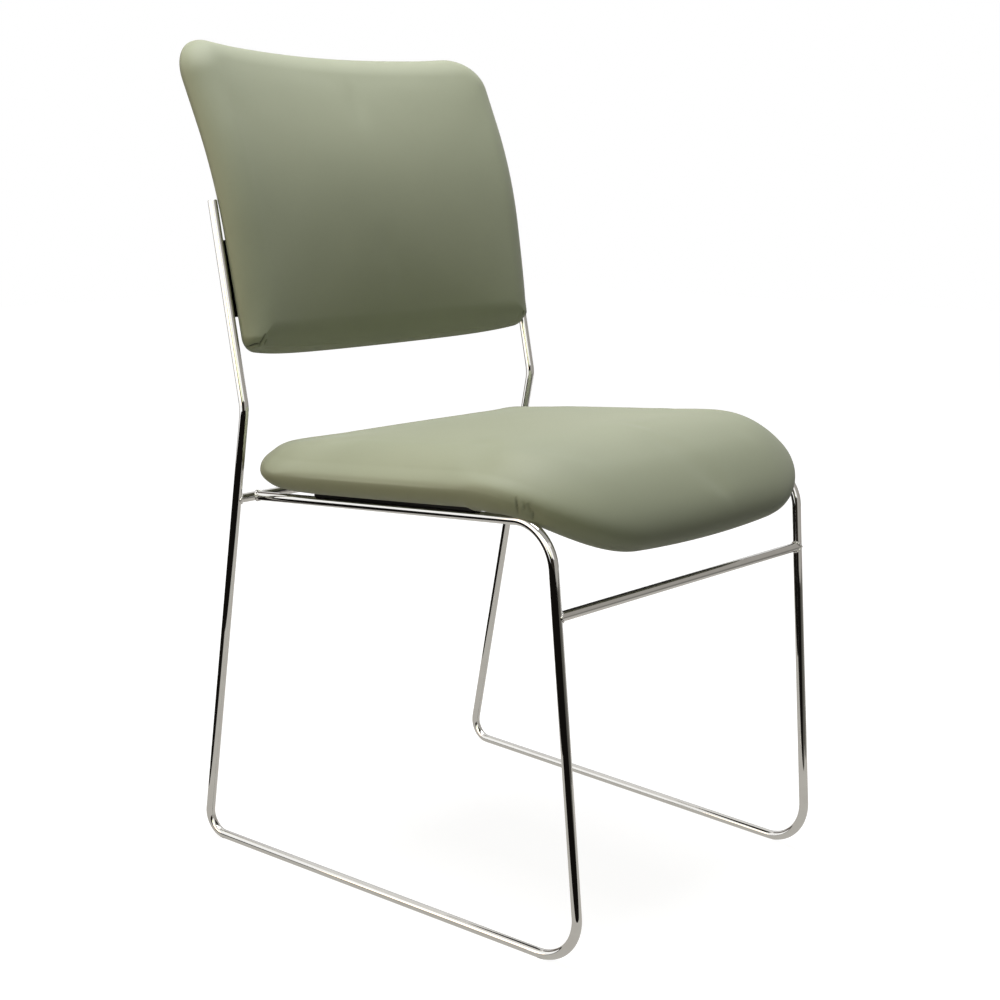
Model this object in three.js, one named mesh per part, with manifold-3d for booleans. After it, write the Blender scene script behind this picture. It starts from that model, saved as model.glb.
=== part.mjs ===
// Sled base visitor chair, in millimetres. It faces -Y, +Z is up and the floor is z = 0.
import * as THREE from 'three';
import { mergeVertices } from 'three/addons/utils/BufferGeometryUtils.js';
import Module from 'manifold-3d';

const wasm = await Module();
wasm.setup();

// Fits
const gap = 0.3;
const cut_over = 3;

// Half of the seat's width: the frame and the back follow it
const seat_half_width = 218.4;

// Side rod: places where the straight stretches of its centre line would meet
const rod_d = 9.5;
const runner_length = 513;
const knee_inside_seat = 23;
const front_floor_inside_knee = 6.7;
const rail_toe_in = 4.5;
const post_inside_seat = 0.1;
const rear_floor_inside_post = 5.8;
const knee_setback = 32.4;
const knee_height = 415.1;
const kink_setback = 91.3;
const kink_above_knee = 65.2;
const post_top_setback = 50.1;
const post_top_above_kink = 207.9;
const kink_bend_r = 45;
const rear_floor_bend_r = 22;
const front_floor_bend_r = 45;
const knee_bend_r = 42;
const rod_sides = 16;
const bend_step_angle = Math.PI / 14;

// Cross rods
const rear_rod_below_knee = 29.3;
const stretcher_below_knee = 84.5;
const weld_leg = 2.2;
const weld_steps = 4;
const plate_corner_steps = 4;

// Seat: lengths run along its bent middle surface, from the rear edge to the front edge
const seat_rear_curve_length = 74.5;
const seat_front_curve_length = 135;
const seat_rear_rise_angle = 0.26;
const seat_front_roll_angle = 1.107;
const seat_flat_from_rear_rod = 72;
const seat_curve_behind_knee = 81.5;
const seat_rear_corner_r = 48;
const seat_front_corner_r = 113;
const seat_front_draw_share = 0.2;
const seat_rear_draw_share = 0.066;
const seat_waist_share = 0.55;
const seat_front_bow = 15;
const seat_rear_bow = 5.8;
const seat_top_depth = 31;
const seat_top_roll = 56;
const seat_under_depth = 17.9;
const seat_under_roll = 22.5;
const seat_crown = 9.8;
const seat_dish = 4.1;
const seat_dish_place_share = 0.4;
const seat_rear_thin_share = 0.155;
const seat_rear_thin_reach_share = 0.3;
const seat_board_inset = 26;
const seat_board_t = 12;
const seat_cloth_t = 1;
const pocket_air = 0.6;

// Back: lengths run along its bent middle surface, from the bottom edge to the top edge
const back_inside_post = 2.5;
const back_straight_length = 122;
const back_curve_length = 118;
const back_top_length = 93;
const back_curve_angle = 0.219;
const back_bottom_above_kink = 54.2;
const back_ahead_of_posts = 3.9;
const back_plan_sag = 34.5;
const back_taper_share = 0.037;
const back_side_draw = 1.8;
const back_bottom_corner_r = 15.7;
const back_top_corner_r = 45.5;
const back_front_depth = 24.5;
const back_front_roll = 33.5;
const back_rear_depth = 10;
const back_rear_roll = 12;
const back_crown = 9.9;
const back_board_inset = 13.5;
const back_board_t = 10;
const back_panel_t = 2.4;

// Seat plates, welded on the rails
const seat_plate_t = 4;
const seat_plate_width = 34;
const seat_plate_past_rear_curve = 23;
const seat_plate_short_of_front_curve = 6;
const seat_plate_corner_r = 5;
const seat_screw_edge = 9.5;
const seat_screw_end = 32;

// Back plates, welded to the inboard side of the posts
const back_plate_t = 4;
const back_plate_length = 78;
const back_plate_from_bottom = 80;
const back_plate_corner_r = 8;
const back_plate_edge = 10;
const back_screw_inside_post = 31.3;
const back_screw_pitch = 48;

// Screws and tee nuts
const screw_sides = 12;
const screw_tip_clearance = 1.2;
const head_dome_share = 0.35;
const seat_screw_d = 6;
const seat_screw_head_d = 12;
const seat_screw_head_h = 3.6;
const back_screw_d = 5;
const back_screw_head_d = 9.6;
const back_screw_head_h = 3;
const seat_nut_wall = 1.2;
const seat_nut_short = 2.5;
const seat_nut_flange_d = 19;
const seat_nut_flange_t = 1.3;
const back_nut_wall = 1.1;
const back_nut_short = 2;
const back_nut_flange_d = 15;
const back_nut_flange_t = 1.2;

// Rows and points of the lofted pieces
const seat_rear_rows = 3;
const seat_flat_rows = 5;
const seat_front_rows = 9;
const back_straight_rows = 3;
const back_curve_rows = 5;
const back_top_rows = 2;
const pad_half_points = 8;
const board_half_points = 5;
const roll_rows = 5;
const least_row_step = 2;
const least_corner_r = 3;
const top_roll_power_share = 0.56;
const under_roll_power_share = 0.5;

// Colours
const chrome = { color: 0xc9ccd0, roughness: 0.08, metalness: 1 };
const black_steel = { color: 0x17181a, roughness: 0.45, metalness: 0.3 };
const vinyl = { color: 0x8c917b, roughness: 0.5, metalness: 0 };
const plywood = { color: 0xc39a63, roughness: 0.75, metalness: 0 };
const base_cloth = { color: 0x1b1b1c, roughness: 0.95, metalness: 0 };
const zinc = { color: 0xa9abad, roughness: 0.35, metalness: 0.9 };

// Worked out from the sizes above
const rod_r = rod_d / 2;
const floor_front_y = -runner_length / 2;
const floor_rear_y = runner_length / 2;
const rear_rod_height = knee_height - rear_rod_below_knee;
const stretcher_height = knee_height - stretcher_below_knee;
const kink_height = knee_height + kink_above_knee;
const post_top_height = kink_height + post_top_above_kink;
const back_bottom_height = kink_height + back_bottom_above_kink;
const knee_half_width = seat_half_width - knee_inside_seat;
const front_floor_half_width = knee_half_width - front_floor_inside_knee;
const rail_rear_half_width = knee_half_width - rail_toe_in;
const post_half_width = seat_half_width - post_inside_seat;
const rear_floor_half_width = post_half_width - rear_floor_inside_post;
const back_half_width = post_half_width - back_inside_post;
const back_screw_half_width = post_half_width - back_screw_inside_post;
const back_curve_end = back_straight_length + back_curve_length;
const back_length = back_curve_end + back_top_length;
const sideways = new THREE.Vector3(1, 0, 0);
const seat_screw = {
  shank_r: seat_screw_d / 2,
  head_r: seat_screw_head_d / 2,
  head_h: seat_screw_head_h
};
const back_screw = {
  shank_r: back_screw_d / 2,
  head_r: back_screw_head_d / 2,
  head_h: back_screw_head_h
};
const seat_nut = {
  wall: seat_nut_wall,
  barrel_short: seat_nut_short,
  flange_r: seat_nut_flange_d / 2,
  flange_t: seat_nut_flange_t
};
const back_nut = {
  wall: back_nut_wall,
  barrel_short: back_nut_short,
  flange_r: back_nut_flange_d / 2,
  flange_t: back_nut_flange_t
};

const post_top = new THREE.Vector3(post_half_width, floor_rear_y - post_top_setback, post_top_height);
const kink = new THREE.Vector3(post_half_width, floor_rear_y - kink_setback, kink_height);
const rear_corner = new THREE.Vector3(rear_floor_half_width, floor_rear_y, rod_r);
const front_corner = new THREE.Vector3(front_floor_half_width, floor_front_y, rod_r);
const knee = new THREE.Vector3(knee_half_width, floor_front_y + knee_setback, knee_height);
const rear_rod_end = pointAtHeight(rear_corner, kink, rear_rod_height);
const stretcher_end = pointAtHeight(front_corner, knee, stretcher_height);
const rail_end = new THREE.Vector3(rail_rear_half_width, rear_rod_end.y, rear_rod_height);

const rail_rise = knee.z - rail_end.z;
const rail_run = rail_end.y - knee.y;
const rail_slope = Math.atan2(rail_rise, rail_run);
const post_lean = Math.atan2(post_top.y - kink.y, post_top.z - kink.z);

const seat_flat_end = Math.hypot(rail_rise, rail_run) - seat_curve_behind_knee;
const seat_flat_length = seat_flat_end - seat_flat_from_rear_rod;
const seat_front_curve_start = seat_rear_curve_length + seat_flat_length;
const seat_length = seat_front_curve_start + seat_front_curve_length;
const seat_plate_from_rear_rod = seat_flat_from_rear_rod + seat_plate_past_rear_curve;
const seat_plate_length = seat_flat_end - seat_plate_short_of_front_curve - seat_plate_from_rear_rod;

// Small helpers
function pointAtHeight(low, high, height) {
  return low.clone().lerp(high, (height - low.z) / (high.z - low.z));
}

function mirrored(point, side) {
  return new THREE.Vector3(point.x * side, point.y, point.z);
}

function limited(value) {
  return Math.min(Math.max(value, 0), 1);
}

// The places from one value to another, without the first
function stepsTo(from, to, count) {
  return Array.from({ length: count }, (_, i) => from + (to - from) * (i + 1) / count);
}

// Where a bend of even curvature gets to, along and across a zero heading
function bendPoint([along, across], heading, curvature, length) {
  if (Math.abs(curvature * length) < Number.EPSILON) {
    return [along + length * Math.cos(heading), across + length * Math.sin(heading)];
  }
  const end_heading = heading + curvature * length;
  return [
    along + (Math.sin(end_heading) - Math.sin(heading)) / curvature,
    across + (Math.cos(heading) - Math.cos(end_heading)) / curvature
  ];
}

// A place on a surface: local X along it, local Z out of it
function placeOn(origin, along, out) {
  const z = out.clone().normalize();
  const x = along.clone().addScaledVector(z, -along.dot(z)).normalize();
  const y = z.clone().cross(x);
  return new THREE.Matrix4().makeBasis(x, y, z).setPosition(origin);
}

// Solids that are cut or joined
function toSolid(geometry, matrix) {
  let source = geometry.clone();
  source.deleteAttribute('normal');
  source.deleteAttribute('uv');
  if (matrix) {
    source.applyMatrix4(matrix);
  }
  source = mergeVertices(source);
  const index = source.index.array;
  const triangles = [];
  for (let i = 0; i < index.length; i += 3) {
    const [a, b, c] = [index[i], index[i + 1], index[i + 2]];
    if (a !== b && b !== c && c !== a) {
      triangles.push(a, b, c);
    }
  }
  return new wasm.Manifold(new wasm.Mesh({
    numProp: 3,
    vertProperties: new Float32Array(source.attributes.position.array),
    triVerts: new Uint32Array(triangles)
  }));
}

function toGeometry(solid) {
  const mesh = solid.getMesh();
  const geometry = new THREE.BufferGeometry();
  geometry.setAttribute('position', new THREE.BufferAttribute(mesh.vertProperties, mesh.numProp));
  geometry.setIndex(new THREE.BufferAttribute(mesh.triVerts, 1));
  geometry.computeVertexNormals();
  return geometry;
}

function cutBy(solid, cutters) {
  return cutters.reduce((body, cutter) => body.subtract(cutter), solid);
}

// A solid turned about local Z, from [radius, height] points that go up its outside
function turned(points, sides) {
  const profile = points.map(([radius, height]) => new THREE.Vector2(radius, height));
  return new THREE.LatheGeometry(profile, sides).rotateX(Math.PI / 2);
}

function cylinder(radius, from, to, sides) {
  return turned([[0, from], [radius, from], [radius, to], [0, to]], sides);
}

// The corners of a section lie outside its circle, so that its flats touch the circle
function cornerRadius(radius) {
  return radius / Math.cos(Math.PI / rod_sides);
}

// Centre line of a bent rod: straight stretches with round bends, and points only where it bends
class BentRod extends THREE.Curve {
  constructor(corners, radii) {
    super();
    this.stations = [];
    this.headings = [];
    this.addStation(corners[0], corners[1].clone().sub(corners[0]));
    radii.forEach((radius, i) => this.addBend(corners[i], corners[i + 1], corners[i + 2], radius));
    const last = corners.length - 1;
    this.addStation(corners[last], corners[last].clone().sub(corners[last - 1]));
  }

  addStation(point, heading) {
    this.stations.push(point.clone());
    this.headings.push(heading.clone().normalize());
  }

  addBend(before, corner, after, radius) {
    const arriving = corner.clone().sub(before).normalize();
    const leaving = after.clone().sub(corner).normalize();
    const turn = arriving.angleTo(leaving);
    const inward = leaving.clone().sub(arriving).normalize();
    const centre = corner.clone().addScaledVector(inward, radius / Math.cos(turn / 2));
    const axis = arriving.clone().cross(leaving).normalize();
    const first = corner.clone().addScaledVector(arriving, -radius * Math.tan(turn / 2)).sub(centre);
    const steps = Math.max(Math.ceil(turn / bend_step_angle), 2);
    for (let i = 0; i <= steps; i++) {
      const angle = turn * i / steps;
      this.addStation(
        first.clone().applyAxisAngle(axis, angle).add(centre),
        arriving.clone().applyAxisAngle(axis, angle)
      );
    }
  }

  getPoint(t) {
    return this.stations[Math.round(t * (this.stations.length - 1))].clone();
  }

  getSpacedPoints() {
    return this.stations;
  }

  // Frames that keep two flats of the rod level, so that the runner lies flat on the floor
  computeFrenetFrames() {
    const tangents = this.headings;
    const binormals = tangents.map((t) => sideways.clone().addScaledVector(t, -t.x).normalize());
    const normals = tangents.map((t, i) => binormals[i].clone().cross(t));
    return { tangents, normals, binormals };
  }
}

function sideRodSweep(side, radius) {
  const corners = [post_top, kink, rear_corner, front_corner, knee, rail_end];
  const radii = [kink_bend_r, rear_floor_bend_r, front_floor_bend_r, knee_bend_r];
  const path = new BentRod(corners.map((corner) => mirrored(corner, side)), radii);
  const section = new THREE.Shape();
  for (let i = 0; i < rod_sides; i++) {
    const angle = (i + 0.5) * 2 * Math.PI / rod_sides;
    const x = cornerRadius(radius) * Math.cos(angle);
    const y = cornerRadius(radius) * Math.sin(angle);
    if (i === 0) {
      section.moveTo(x, y);
    } else {
      section.lineTo(x, y);
    }
  }
  const steps = path.stations.length - 1;
  return new THREE.ExtrudeGeometry(section, { steps, extrudePath: path, bevelEnabled: false });
}

// A straight rod, or the room that one needs
function straightRod(from, to, radius) {
  const along = to.clone().sub(from);
  const across = new THREE.Vector3(0, 0, 1).cross(along);
  const reference = across.lengthSq() > 0 ? across : sideways;
  const rod = cylinder(cornerRadius(radius), 0, along.length(), rod_sides);
  return toSolid(rod, placeOn(from, reference, along));
}

// A weld bead on a rod that ends at the middle of another one, hollow towards both
function weldBead(end, heading) {
  const points = [[0, 0], [rod_r + weld_leg, 0]];
  for (let i = 0; i <= weld_steps; i++) {
    const angle = Math.PI / 2 * i / weld_steps;
    const radius = rod_r + weld_leg * (1 - Math.sin(angle));
    points.push([radius, rod_r + weld_leg * (1 - Math.cos(angle))]);
  }
  points.push([0, rod_r + weld_leg]);
  const across = new THREE.Vector3(0, 0, 1).cross(heading);
  return toSolid(turned(points, rod_sides), placeOn(end, across, heading));
}

// Side rods: the rail's end is shaped to the rear cross rod and welded to it
function sideRod(side) {
  const end = mirrored(rail_end, side);
  const bead = weldBead(end, mirrored(knee, side).sub(end));
  const room = straightRod(mirrored(rear_rod_end, -1), mirrored(rear_rod_end, 1), rod_r + gap);
  return toGeometry(toSolid(sideRodSweep(side, rod_r)).add(bead).subtract(room));
}

// Cross rods: their ends are shaped to the legs and welded to them
function crossRod(end, leg_low, leg_high) {
  const [right, left] = [mirrored(end, -1), mirrored(end, 1)];
  let body = straightRod(right, left, rod_r);
  for (const side of [-1, 1]) {
    body = body.add(weldBead(mirrored(end, side), sideways.clone().multiplyScalar(-side)));
  }
  for (const side of [-1, 1]) {
    const leg = straightRod(mirrored(leg_low, side), mirrored(leg_high, side), rod_r + gap);
    body = body.subtract(leg);
  }
  return toGeometry(body);
}

// Plan of a pad or board: a rectangle with round corners, from s = 0 to its length
function halfWidthAt(plan, s, inset) {
  const from_end = Math.min(s, plan.length - s) - inset;
  const corner_r = Math.max(cornerAt(plan, s) - inset, least_corner_r);
  const half_width = plan.half_width - inset;
  if (from_end >= corner_r) {
    return half_width;
  }
  const short = corner_r - Math.max(from_end, 0);
  return half_width - corner_r + Math.sqrt(corner_r ** 2 - short ** 2);
}

function cornerAt(plan, s) {
  return s < plan.length / 2 ? plan.start_corner_r : plan.end_corner_r;
}

// How far a place in the plan lies from the nearest edge
function edgeDistance(plan, x, s) {
  const corner_r = cornerAt(plan, s);
  const from_side = plan.half_width - Math.abs(x);
  const from_end = Math.min(s, plan.length - s);
  if (from_side < corner_r && from_end < corner_r) {
    return corner_r - Math.hypot(corner_r - from_side, corner_r - from_end);
  }
  return Math.min(from_side, from_end);
}

// Height of a rolled edge, as a share of the full depth
function rollShare(distance, roll, power_share) {
  const share = limited(distance / roll);
  return Math.max(1 - (1 - share) ** 2, 0) ** power_share;
}

function sortedRows(rows, from, to) {
  const inner = rows.filter((s) => s > from + least_row_step && s < to - least_row_step);
  const kept = [from];
  for (const s of inner.sort((a, b) => a - b)) {
    if (s - kept[kept.length - 1] > least_row_step) {
      kept.push(s);
    }
  }
  return [...kept, to];
}

// A closed solid lofted along s, from rows of points on its upper and its lower face
function loftRows(upper, lower) {
  const rows = upper.length;
  const columns = upper[0].length;
  const positions = [...upper, ...lower].flat().flatMap((point) => point.toArray());
  const index = [];
  const at = (row, column) => row * columns + column;
  const quad = (a, b, c, d) => index.push(a, b, c, a, c, d);
  const below = rows * columns;
  for (let row = 0; row + 1 < rows; row++) {
    for (let column = 0; column + 1 < columns; column++) {
      const [a, b] = [at(row, column), at(row, column + 1)];
      const [c, d] = [at(row + 1, column + 1), at(row + 1, column)];
      quad(a, b, c, d);
      quad(a + below, d + below, c + below, b + below);
    }
    const [start, end] = [at(row, 0), at(row + 1, 0)];
    quad(start, end, end + below, start + below);
    const [far_start, far_end] = [at(row, columns - 1), at(row + 1, columns - 1)];
    quad(far_end, far_start, far_start + below, far_end + below);
  }
  for (let column = 0; column + 1 < columns; column++) {
    const [a, b] = [at(0, column), at(0, column + 1)];
    quad(b, a, a + below, b + below);
    const [c, d] = [at(rows - 1, column), at(rows - 1, column + 1)];
    quad(c, d, d + below, c + below);
  }
  const geometry = new THREE.BufferGeometry();
  geometry.setAttribute('position', new THREE.Float32BufferAttribute(positions, 3));
  geometry.setIndex(index);
  return geometry;
}

function facingOut(geometry) {
  const solid = toSolid(geometry);
  if (solid.volume() > 0) {
    return solid;
  }
  geometry.index.array.reverse();
  return toSolid(geometry);
}

// Points across a plan at s, closer together near its edges
function columnsAt(plan, s, inset, half_points) {
  const half_width = halfWidthAt(plan, s, inset);
  return Array.from({ length: 2 * half_points + 1 }, (_, i) => {
    return half_width * Math.sin(Math.PI / 2 * (i - half_points) / half_points);
  });
}

// A cushion: its faces roll over at the edges to meet at the rim
function cushionSolid(pad) {
  const end_rows = Array.from({ length: roll_rows }, (_, i) => {
    return pad.top_roll * (1 - Math.cos(Math.PI / 2 * (i + 1) / roll_rows));
  });
  const far_rows = end_rows.map((s) => pad.plan.length - s);
  const rows = sortedRows([...end_rows, ...pad.rows, ...far_rows], 0, pad.plan.length);
  const face = (height) => rows.map((s) => {
    return columnsAt(pad.plan, s, 0, pad_half_points).map((x) => pad.surface(x, s, height(x, s)));
  });
  const top = face((x, s) => {
    const roll = rollShare(edgeDistance(pad.plan, x, s), pad.top_roll, top_roll_power_share);
    return pad.topDepth(x, s) * roll + pad.swell(x, s);
  });
  const under = face((x, s) => {
    const roll = rollShare(edgeDistance(pad.plan, x, s), pad.under_roll, under_roll_power_share);
    return -pad.under_depth * roll;
  });
  return facingOut(loftRows(top, under));
}

// A board or cover that follows the same bent surface, between two heights over it
function sheetSolid(pad, inset, low, high) {
  const rows = sortedRows(pad.rows, inset, pad.plan.length - inset);
  const face = (height) => rows.map((s) => {
    return columnsAt(pad.plan, s, inset, board_half_points).map((x) => pad.surface(x, s, height));
  });
  return facingOut(loftRows(face(high), face(low)));
}

// Heights of what lies in a pad, from its lower face up
function layersOf(pad) {
  const cover_low = -pad.under_depth;
  const cover_high = cover_low + pad.cover_t;
  const board_low = cover_high + gap;
  const board_high = board_low + pad.board_t;
  return { cover_low, cover_high, board_low, board_high, pocket_high: board_high + pocket_air };
}

// Seat surface: s runs forward, height is square to it
const seat_plan = {
  half_width: seat_half_width,
  length: seat_length,
  start_corner_r: seat_rear_corner_r,
  end_corner_r: seat_front_corner_r
};

function railPoint(distance_from_rear_rod, stand) {
  const forward = [-Math.cos(rail_slope), Math.sin(rail_slope)];
  const up = [Math.sin(rail_slope), Math.cos(rail_slope)];
  return [
    rail_end.y + forward[0] * distance_from_rear_rod + up[0] * stand,
    rail_end.z + forward[1] * distance_from_rear_rod + up[1] * stand
  ];
}

const seat_stand = rod_r + gap + seat_plate_t + gap + seat_under_depth;
const seat_flat_start = railPoint(seat_flat_from_rear_rod, seat_stand);

function seatSpine(s) {
  const from_flat = s - seat_rear_curve_length;
  const start = [0, 0];
  let place;
  let heading = rail_slope;
  if (from_flat < 0) {
    const curvature = seat_rear_rise_angle / seat_rear_curve_length;
    place = bendPoint(start, heading, curvature, from_flat);
    heading += curvature * from_flat;
  } else {
    place = bendPoint(start, heading, 0, Math.min(from_flat, seat_flat_length));
  }
  const past_flat = from_flat - seat_flat_length;
  if (past_flat > 0) {
    const curvature = -seat_front_roll_angle / seat_front_curve_length;
    place = bendPoint(place, heading, curvature, past_flat);
    heading += curvature * past_flat;
  }
  return { y: seat_flat_start[0] - place[0], z: seat_flat_start[1] + place[1], heading };
}

function seatSurface(x, plan_s, height) {
  const half_length = seat_length / 2;
  const from_middle = plan_s - half_length;
  const across = (x / seat_half_width) ** 2;
  const front_bow = seat_front_bow * across * limited(from_middle / half_length);
  const rear_bow = seat_rear_bow * across * limited(-from_middle / half_length);
  const s = plan_s - front_bow + rear_bow;
  const from_waist = s / seat_length - seat_waist_share;
  const draw_share = from_waist > 0 ? seat_front_draw_share : seat_rear_draw_share;
  const spine = seatSpine(s);
  return new THREE.Vector3(
    x * (1 - draw_share * from_waist ** 2),
    spine.y + height * Math.sin(spine.heading),
    spine.z + height * Math.cos(spine.heading)
  );
}

const seat_pad = {
  plan: seat_plan,
  surface: seatSurface,
  rows: [
    ...stepsTo(0, seat_rear_curve_length, seat_rear_rows),
    ...stepsTo(seat_rear_curve_length, seat_front_curve_start, seat_flat_rows),
    ...stepsTo(seat_front_curve_start, seat_length, seat_front_rows)
  ],
  top_roll: seat_top_roll,
  under_roll: seat_under_roll,
  under_depth: seat_under_depth,
  cover_t: seat_cloth_t,
  board_t: seat_board_t,
  topDepth(x, s) {
    const rear_share = limited(1 - s / seat_length / seat_rear_thin_reach_share);
    return seat_top_depth * (1 - seat_rear_thin_share * rear_share);
  },
  swell(x, s) {
    const share = s / seat_length;
    const across = 1 - (x / seat_half_width) ** 2;
    const dish = limited(1 - (share / seat_dish_place_share - 1) ** 2);
    return (seat_crown * (1 - (2 * share - 1) ** 2) - seat_dish * dish) * across;
  }
};

// Back surface: s runs up, height is forward and square to it
const back_plan = {
  half_width: back_half_width,
  length: back_length,
  start_corner_r: back_bottom_corner_r,
  end_corner_r: back_top_corner_r
};

const post_at_bottom = pointAtHeight(kink, post_top, back_bottom_height);
const back_bottom_y = post_at_bottom.y - rod_r / Math.cos(post_lean) - back_ahead_of_posts;

function backSpine(s) {
  const on_straight = Math.min(s, back_straight_length);
  const on_curve = Math.min(Math.max(s - back_straight_length, 0), back_curve_length);
  const on_top = Math.max(s - back_curve_end, 0);
  const curvature = back_curve_angle / back_curve_length;
  let place = bendPoint([0, 0], post_lean, 0, on_straight);
  place = bendPoint(place, post_lean, curvature, on_curve);
  const lean = post_lean + curvature * on_curve;
  place = bendPoint(place, lean, 0, on_top);
  return { y: back_bottom_y + place[1], z: back_bottom_height + place[0], lean };
}

function backSurface(x, s, height) {
  const share = s / back_length;
  const across = Math.abs(x) / back_half_width;
  const waist = 1 - (2 * share - 1) ** 2;
  const draw = Math.sign(x) * back_side_draw * waist * across ** 3;
  const forward = height - back_plan_sag * (1 - across ** 2);
  const spine = backSpine(s);
  return new THREE.Vector3(
    x * (1 + back_taper_share * (share - 0.5)) - draw,
    spine.y - forward * Math.cos(spine.lean),
    spine.z + forward * Math.sin(spine.lean)
  );
}

const back_pad = {
  plan: back_plan,
  surface: backSurface,
  rows: [
    ...stepsTo(0, back_straight_length, back_straight_rows),
    ...stepsTo(back_straight_length, back_curve_end, back_curve_rows),
    ...stepsTo(back_curve_end, back_length, back_top_rows)
  ],
  top_roll: back_front_roll,
  under_roll: back_rear_roll,
  under_depth: back_rear_depth,
  cover_t: back_panel_t,
  board_t: back_board_t,
  topDepth() {
    return back_front_depth;
  },
  swell(x, s) {
    return back_crown * (1 - (x / back_half_width) ** 2) * (1 - (2 * s / back_length - 1) ** 2);
  }
};

// Screw places: local Z goes into the pad, and zero is the pad's lower face
function seatScrewPlaces(side) {
  const end = mirrored(rail_end, side);
  const forward = mirrored(knee, side).sub(end).normalize();
  const up = forward.clone().cross(sideways).normalize();
  const inboard = (seat_plate_width - rod_r - seat_screw_edge) * -side;
  const reach = seat_plate_from_rear_rod;
  const along = [reach + seat_screw_end, reach + seat_plate_length - seat_screw_end];
  return along.map((distance) => {
    const origin = end.clone().addScaledVector(forward, distance);
    origin.addScaledVector(up, seat_stand - seat_under_depth);
    origin.addScaledVector(sideways, inboard);
    return { matrix: placeOn(origin, forward, up), squeeze: 1 };
  });
}

function backPlace(side, s) {
  const x = back_screw_half_width * side;
  const origin = backSurface(x, s, -back_rear_depth);
  const up = backSurface(x, s + least_row_step, -back_rear_depth).sub(origin);
  const across = backSurface(x + least_row_step, s, -back_rear_depth).sub(origin);
  const into = across.clone().cross(up).normalize();
  const square = backSurface(x, s, 0).sub(origin).normalize();
  return { matrix: placeOn(origin, up, into), squeeze: into.dot(square) };
}

function backScrewPlaces(side) {
  const middle = back_plate_from_bottom;
  return [-1, 1].map((end) => backPlace(side, middle + end * back_screw_pitch / 2));
}

// Fasteners, along local Z from the outside of the plate into the board
function screwSolid(screw, pad, plate_t, squeeze) {
  const head_top = -gap - plate_t - gap;
  const head_low = head_top - screw.head_h;
  const dome = screw.head_h * head_dome_share;
  const tip = (layersOf(pad).board_high + pad.under_depth) * squeeze - screw_tip_clearance;
  return toSolid(turned([
    [0, head_low],
    [screw.head_r - dome, head_low],
    [screw.head_r, head_low + dome],
    [screw.head_r, head_top],
    [screw.shank_r, head_top],
    [screw.shank_r, tip],
    [0, tip]
  ], screw_sides));
}

function nutHeights(nut, pad, squeeze) {
  const layers = layersOf(pad);
  const top = (layers.board_high + pad.under_depth) * squeeze;
  const low = (layers.board_low + pad.under_depth) * squeeze + nut.barrel_short;
  return { top, low, flange: top - nut.flange_t };
}

function nutSolid(nut, screw, pad, squeeze) {
  const { top, low, flange } = nutHeights(nut, pad, squeeze);
  const bore_r = screw.shank_r + gap;
  const barrel_r = bore_r + nut.wall;
  return toSolid(turned([
    [bore_r, low],
    [barrel_r, low],
    [barrel_r, flange],
    [nut.flange_r, flange],
    [nut.flange_r, top],
    [bore_r, top],
    [bore_r, low]
  ], screw_sides));
}

function boardHole(nut, screw, pad, squeeze, matrix) {
  const { top, flange } = nutHeights(nut, pad, squeeze);
  const barrel_r = screw.shank_r + gap + nut.wall + gap;
  const hole = toSolid(cylinder(barrel_r, -cut_over, top + cut_over, screw_sides), matrix);
  const seat = cylinder(nut.flange_r + gap, flange - gap, top + cut_over, screw_sides);
  return hole.add(toSolid(seat, matrix));
}

function clearHole(screw, from, to, matrix) {
  return toSolid(cylinder(screw.shank_r + gap, from, to, screw_sides), matrix);
}

// A flat plate with round corners, and its holes, in local millimetres
function plateSolid(x_from, x_to, y_from, y_to, low, thickness, corner_r) {
  const shape = new THREE.Shape();
  shape.moveTo(x_from + corner_r, y_from);
  shape.lineTo(x_to - corner_r, y_from);
  shape.absarc(x_to - corner_r, y_from + corner_r, corner_r, -Math.PI / 2, 0, false);
  shape.lineTo(x_to, y_to - corner_r);
  shape.absarc(x_to - corner_r, y_to - corner_r, corner_r, 0, Math.PI / 2, false);
  shape.lineTo(x_from + corner_r, y_to);
  shape.absarc(x_from + corner_r, y_to - corner_r, corner_r, Math.PI / 2, Math.PI, false);
  shape.lineTo(x_from, y_from + corner_r);
  shape.absarc(x_from + corner_r, y_from + corner_r, corner_r, Math.PI, Math.PI * 3 / 2, false);
  const plate = new THREE.ExtrudeGeometry(shape, {
    depth: thickness,
    bevelEnabled: false,
    curveSegments: plate_corner_steps
  });
  return toSolid(plate.translate(0, 0, low));
}

// Seat plate: a flat bar that lies on the rail and reaches inboard under the board
function seatPlate(side) {
  const [rear, front] = seatScrewPlaces(side);
  const inner_y = seat_screw_edge * -side;
  const outer_y = (seat_plate_width - seat_screw_edge) * side;
  const low = -gap - seat_plate_t;
  const span = seat_plate_length - 2 * seat_screw_end;
  const plate = plateSolid(
    -seat_screw_end, span + seat_screw_end,
    Math.min(inner_y, outer_y), Math.max(inner_y, outer_y),
    low, seat_plate_t, seat_plate_corner_r
  ).transform(rear.matrix.elements);
  const holes = [rear, front].map(({ matrix }) => {
    return clearHole(seat_screw, low - cut_over, cut_over, matrix);
  });
  return toGeometry(cutBy(plate, holes));
}

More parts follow.
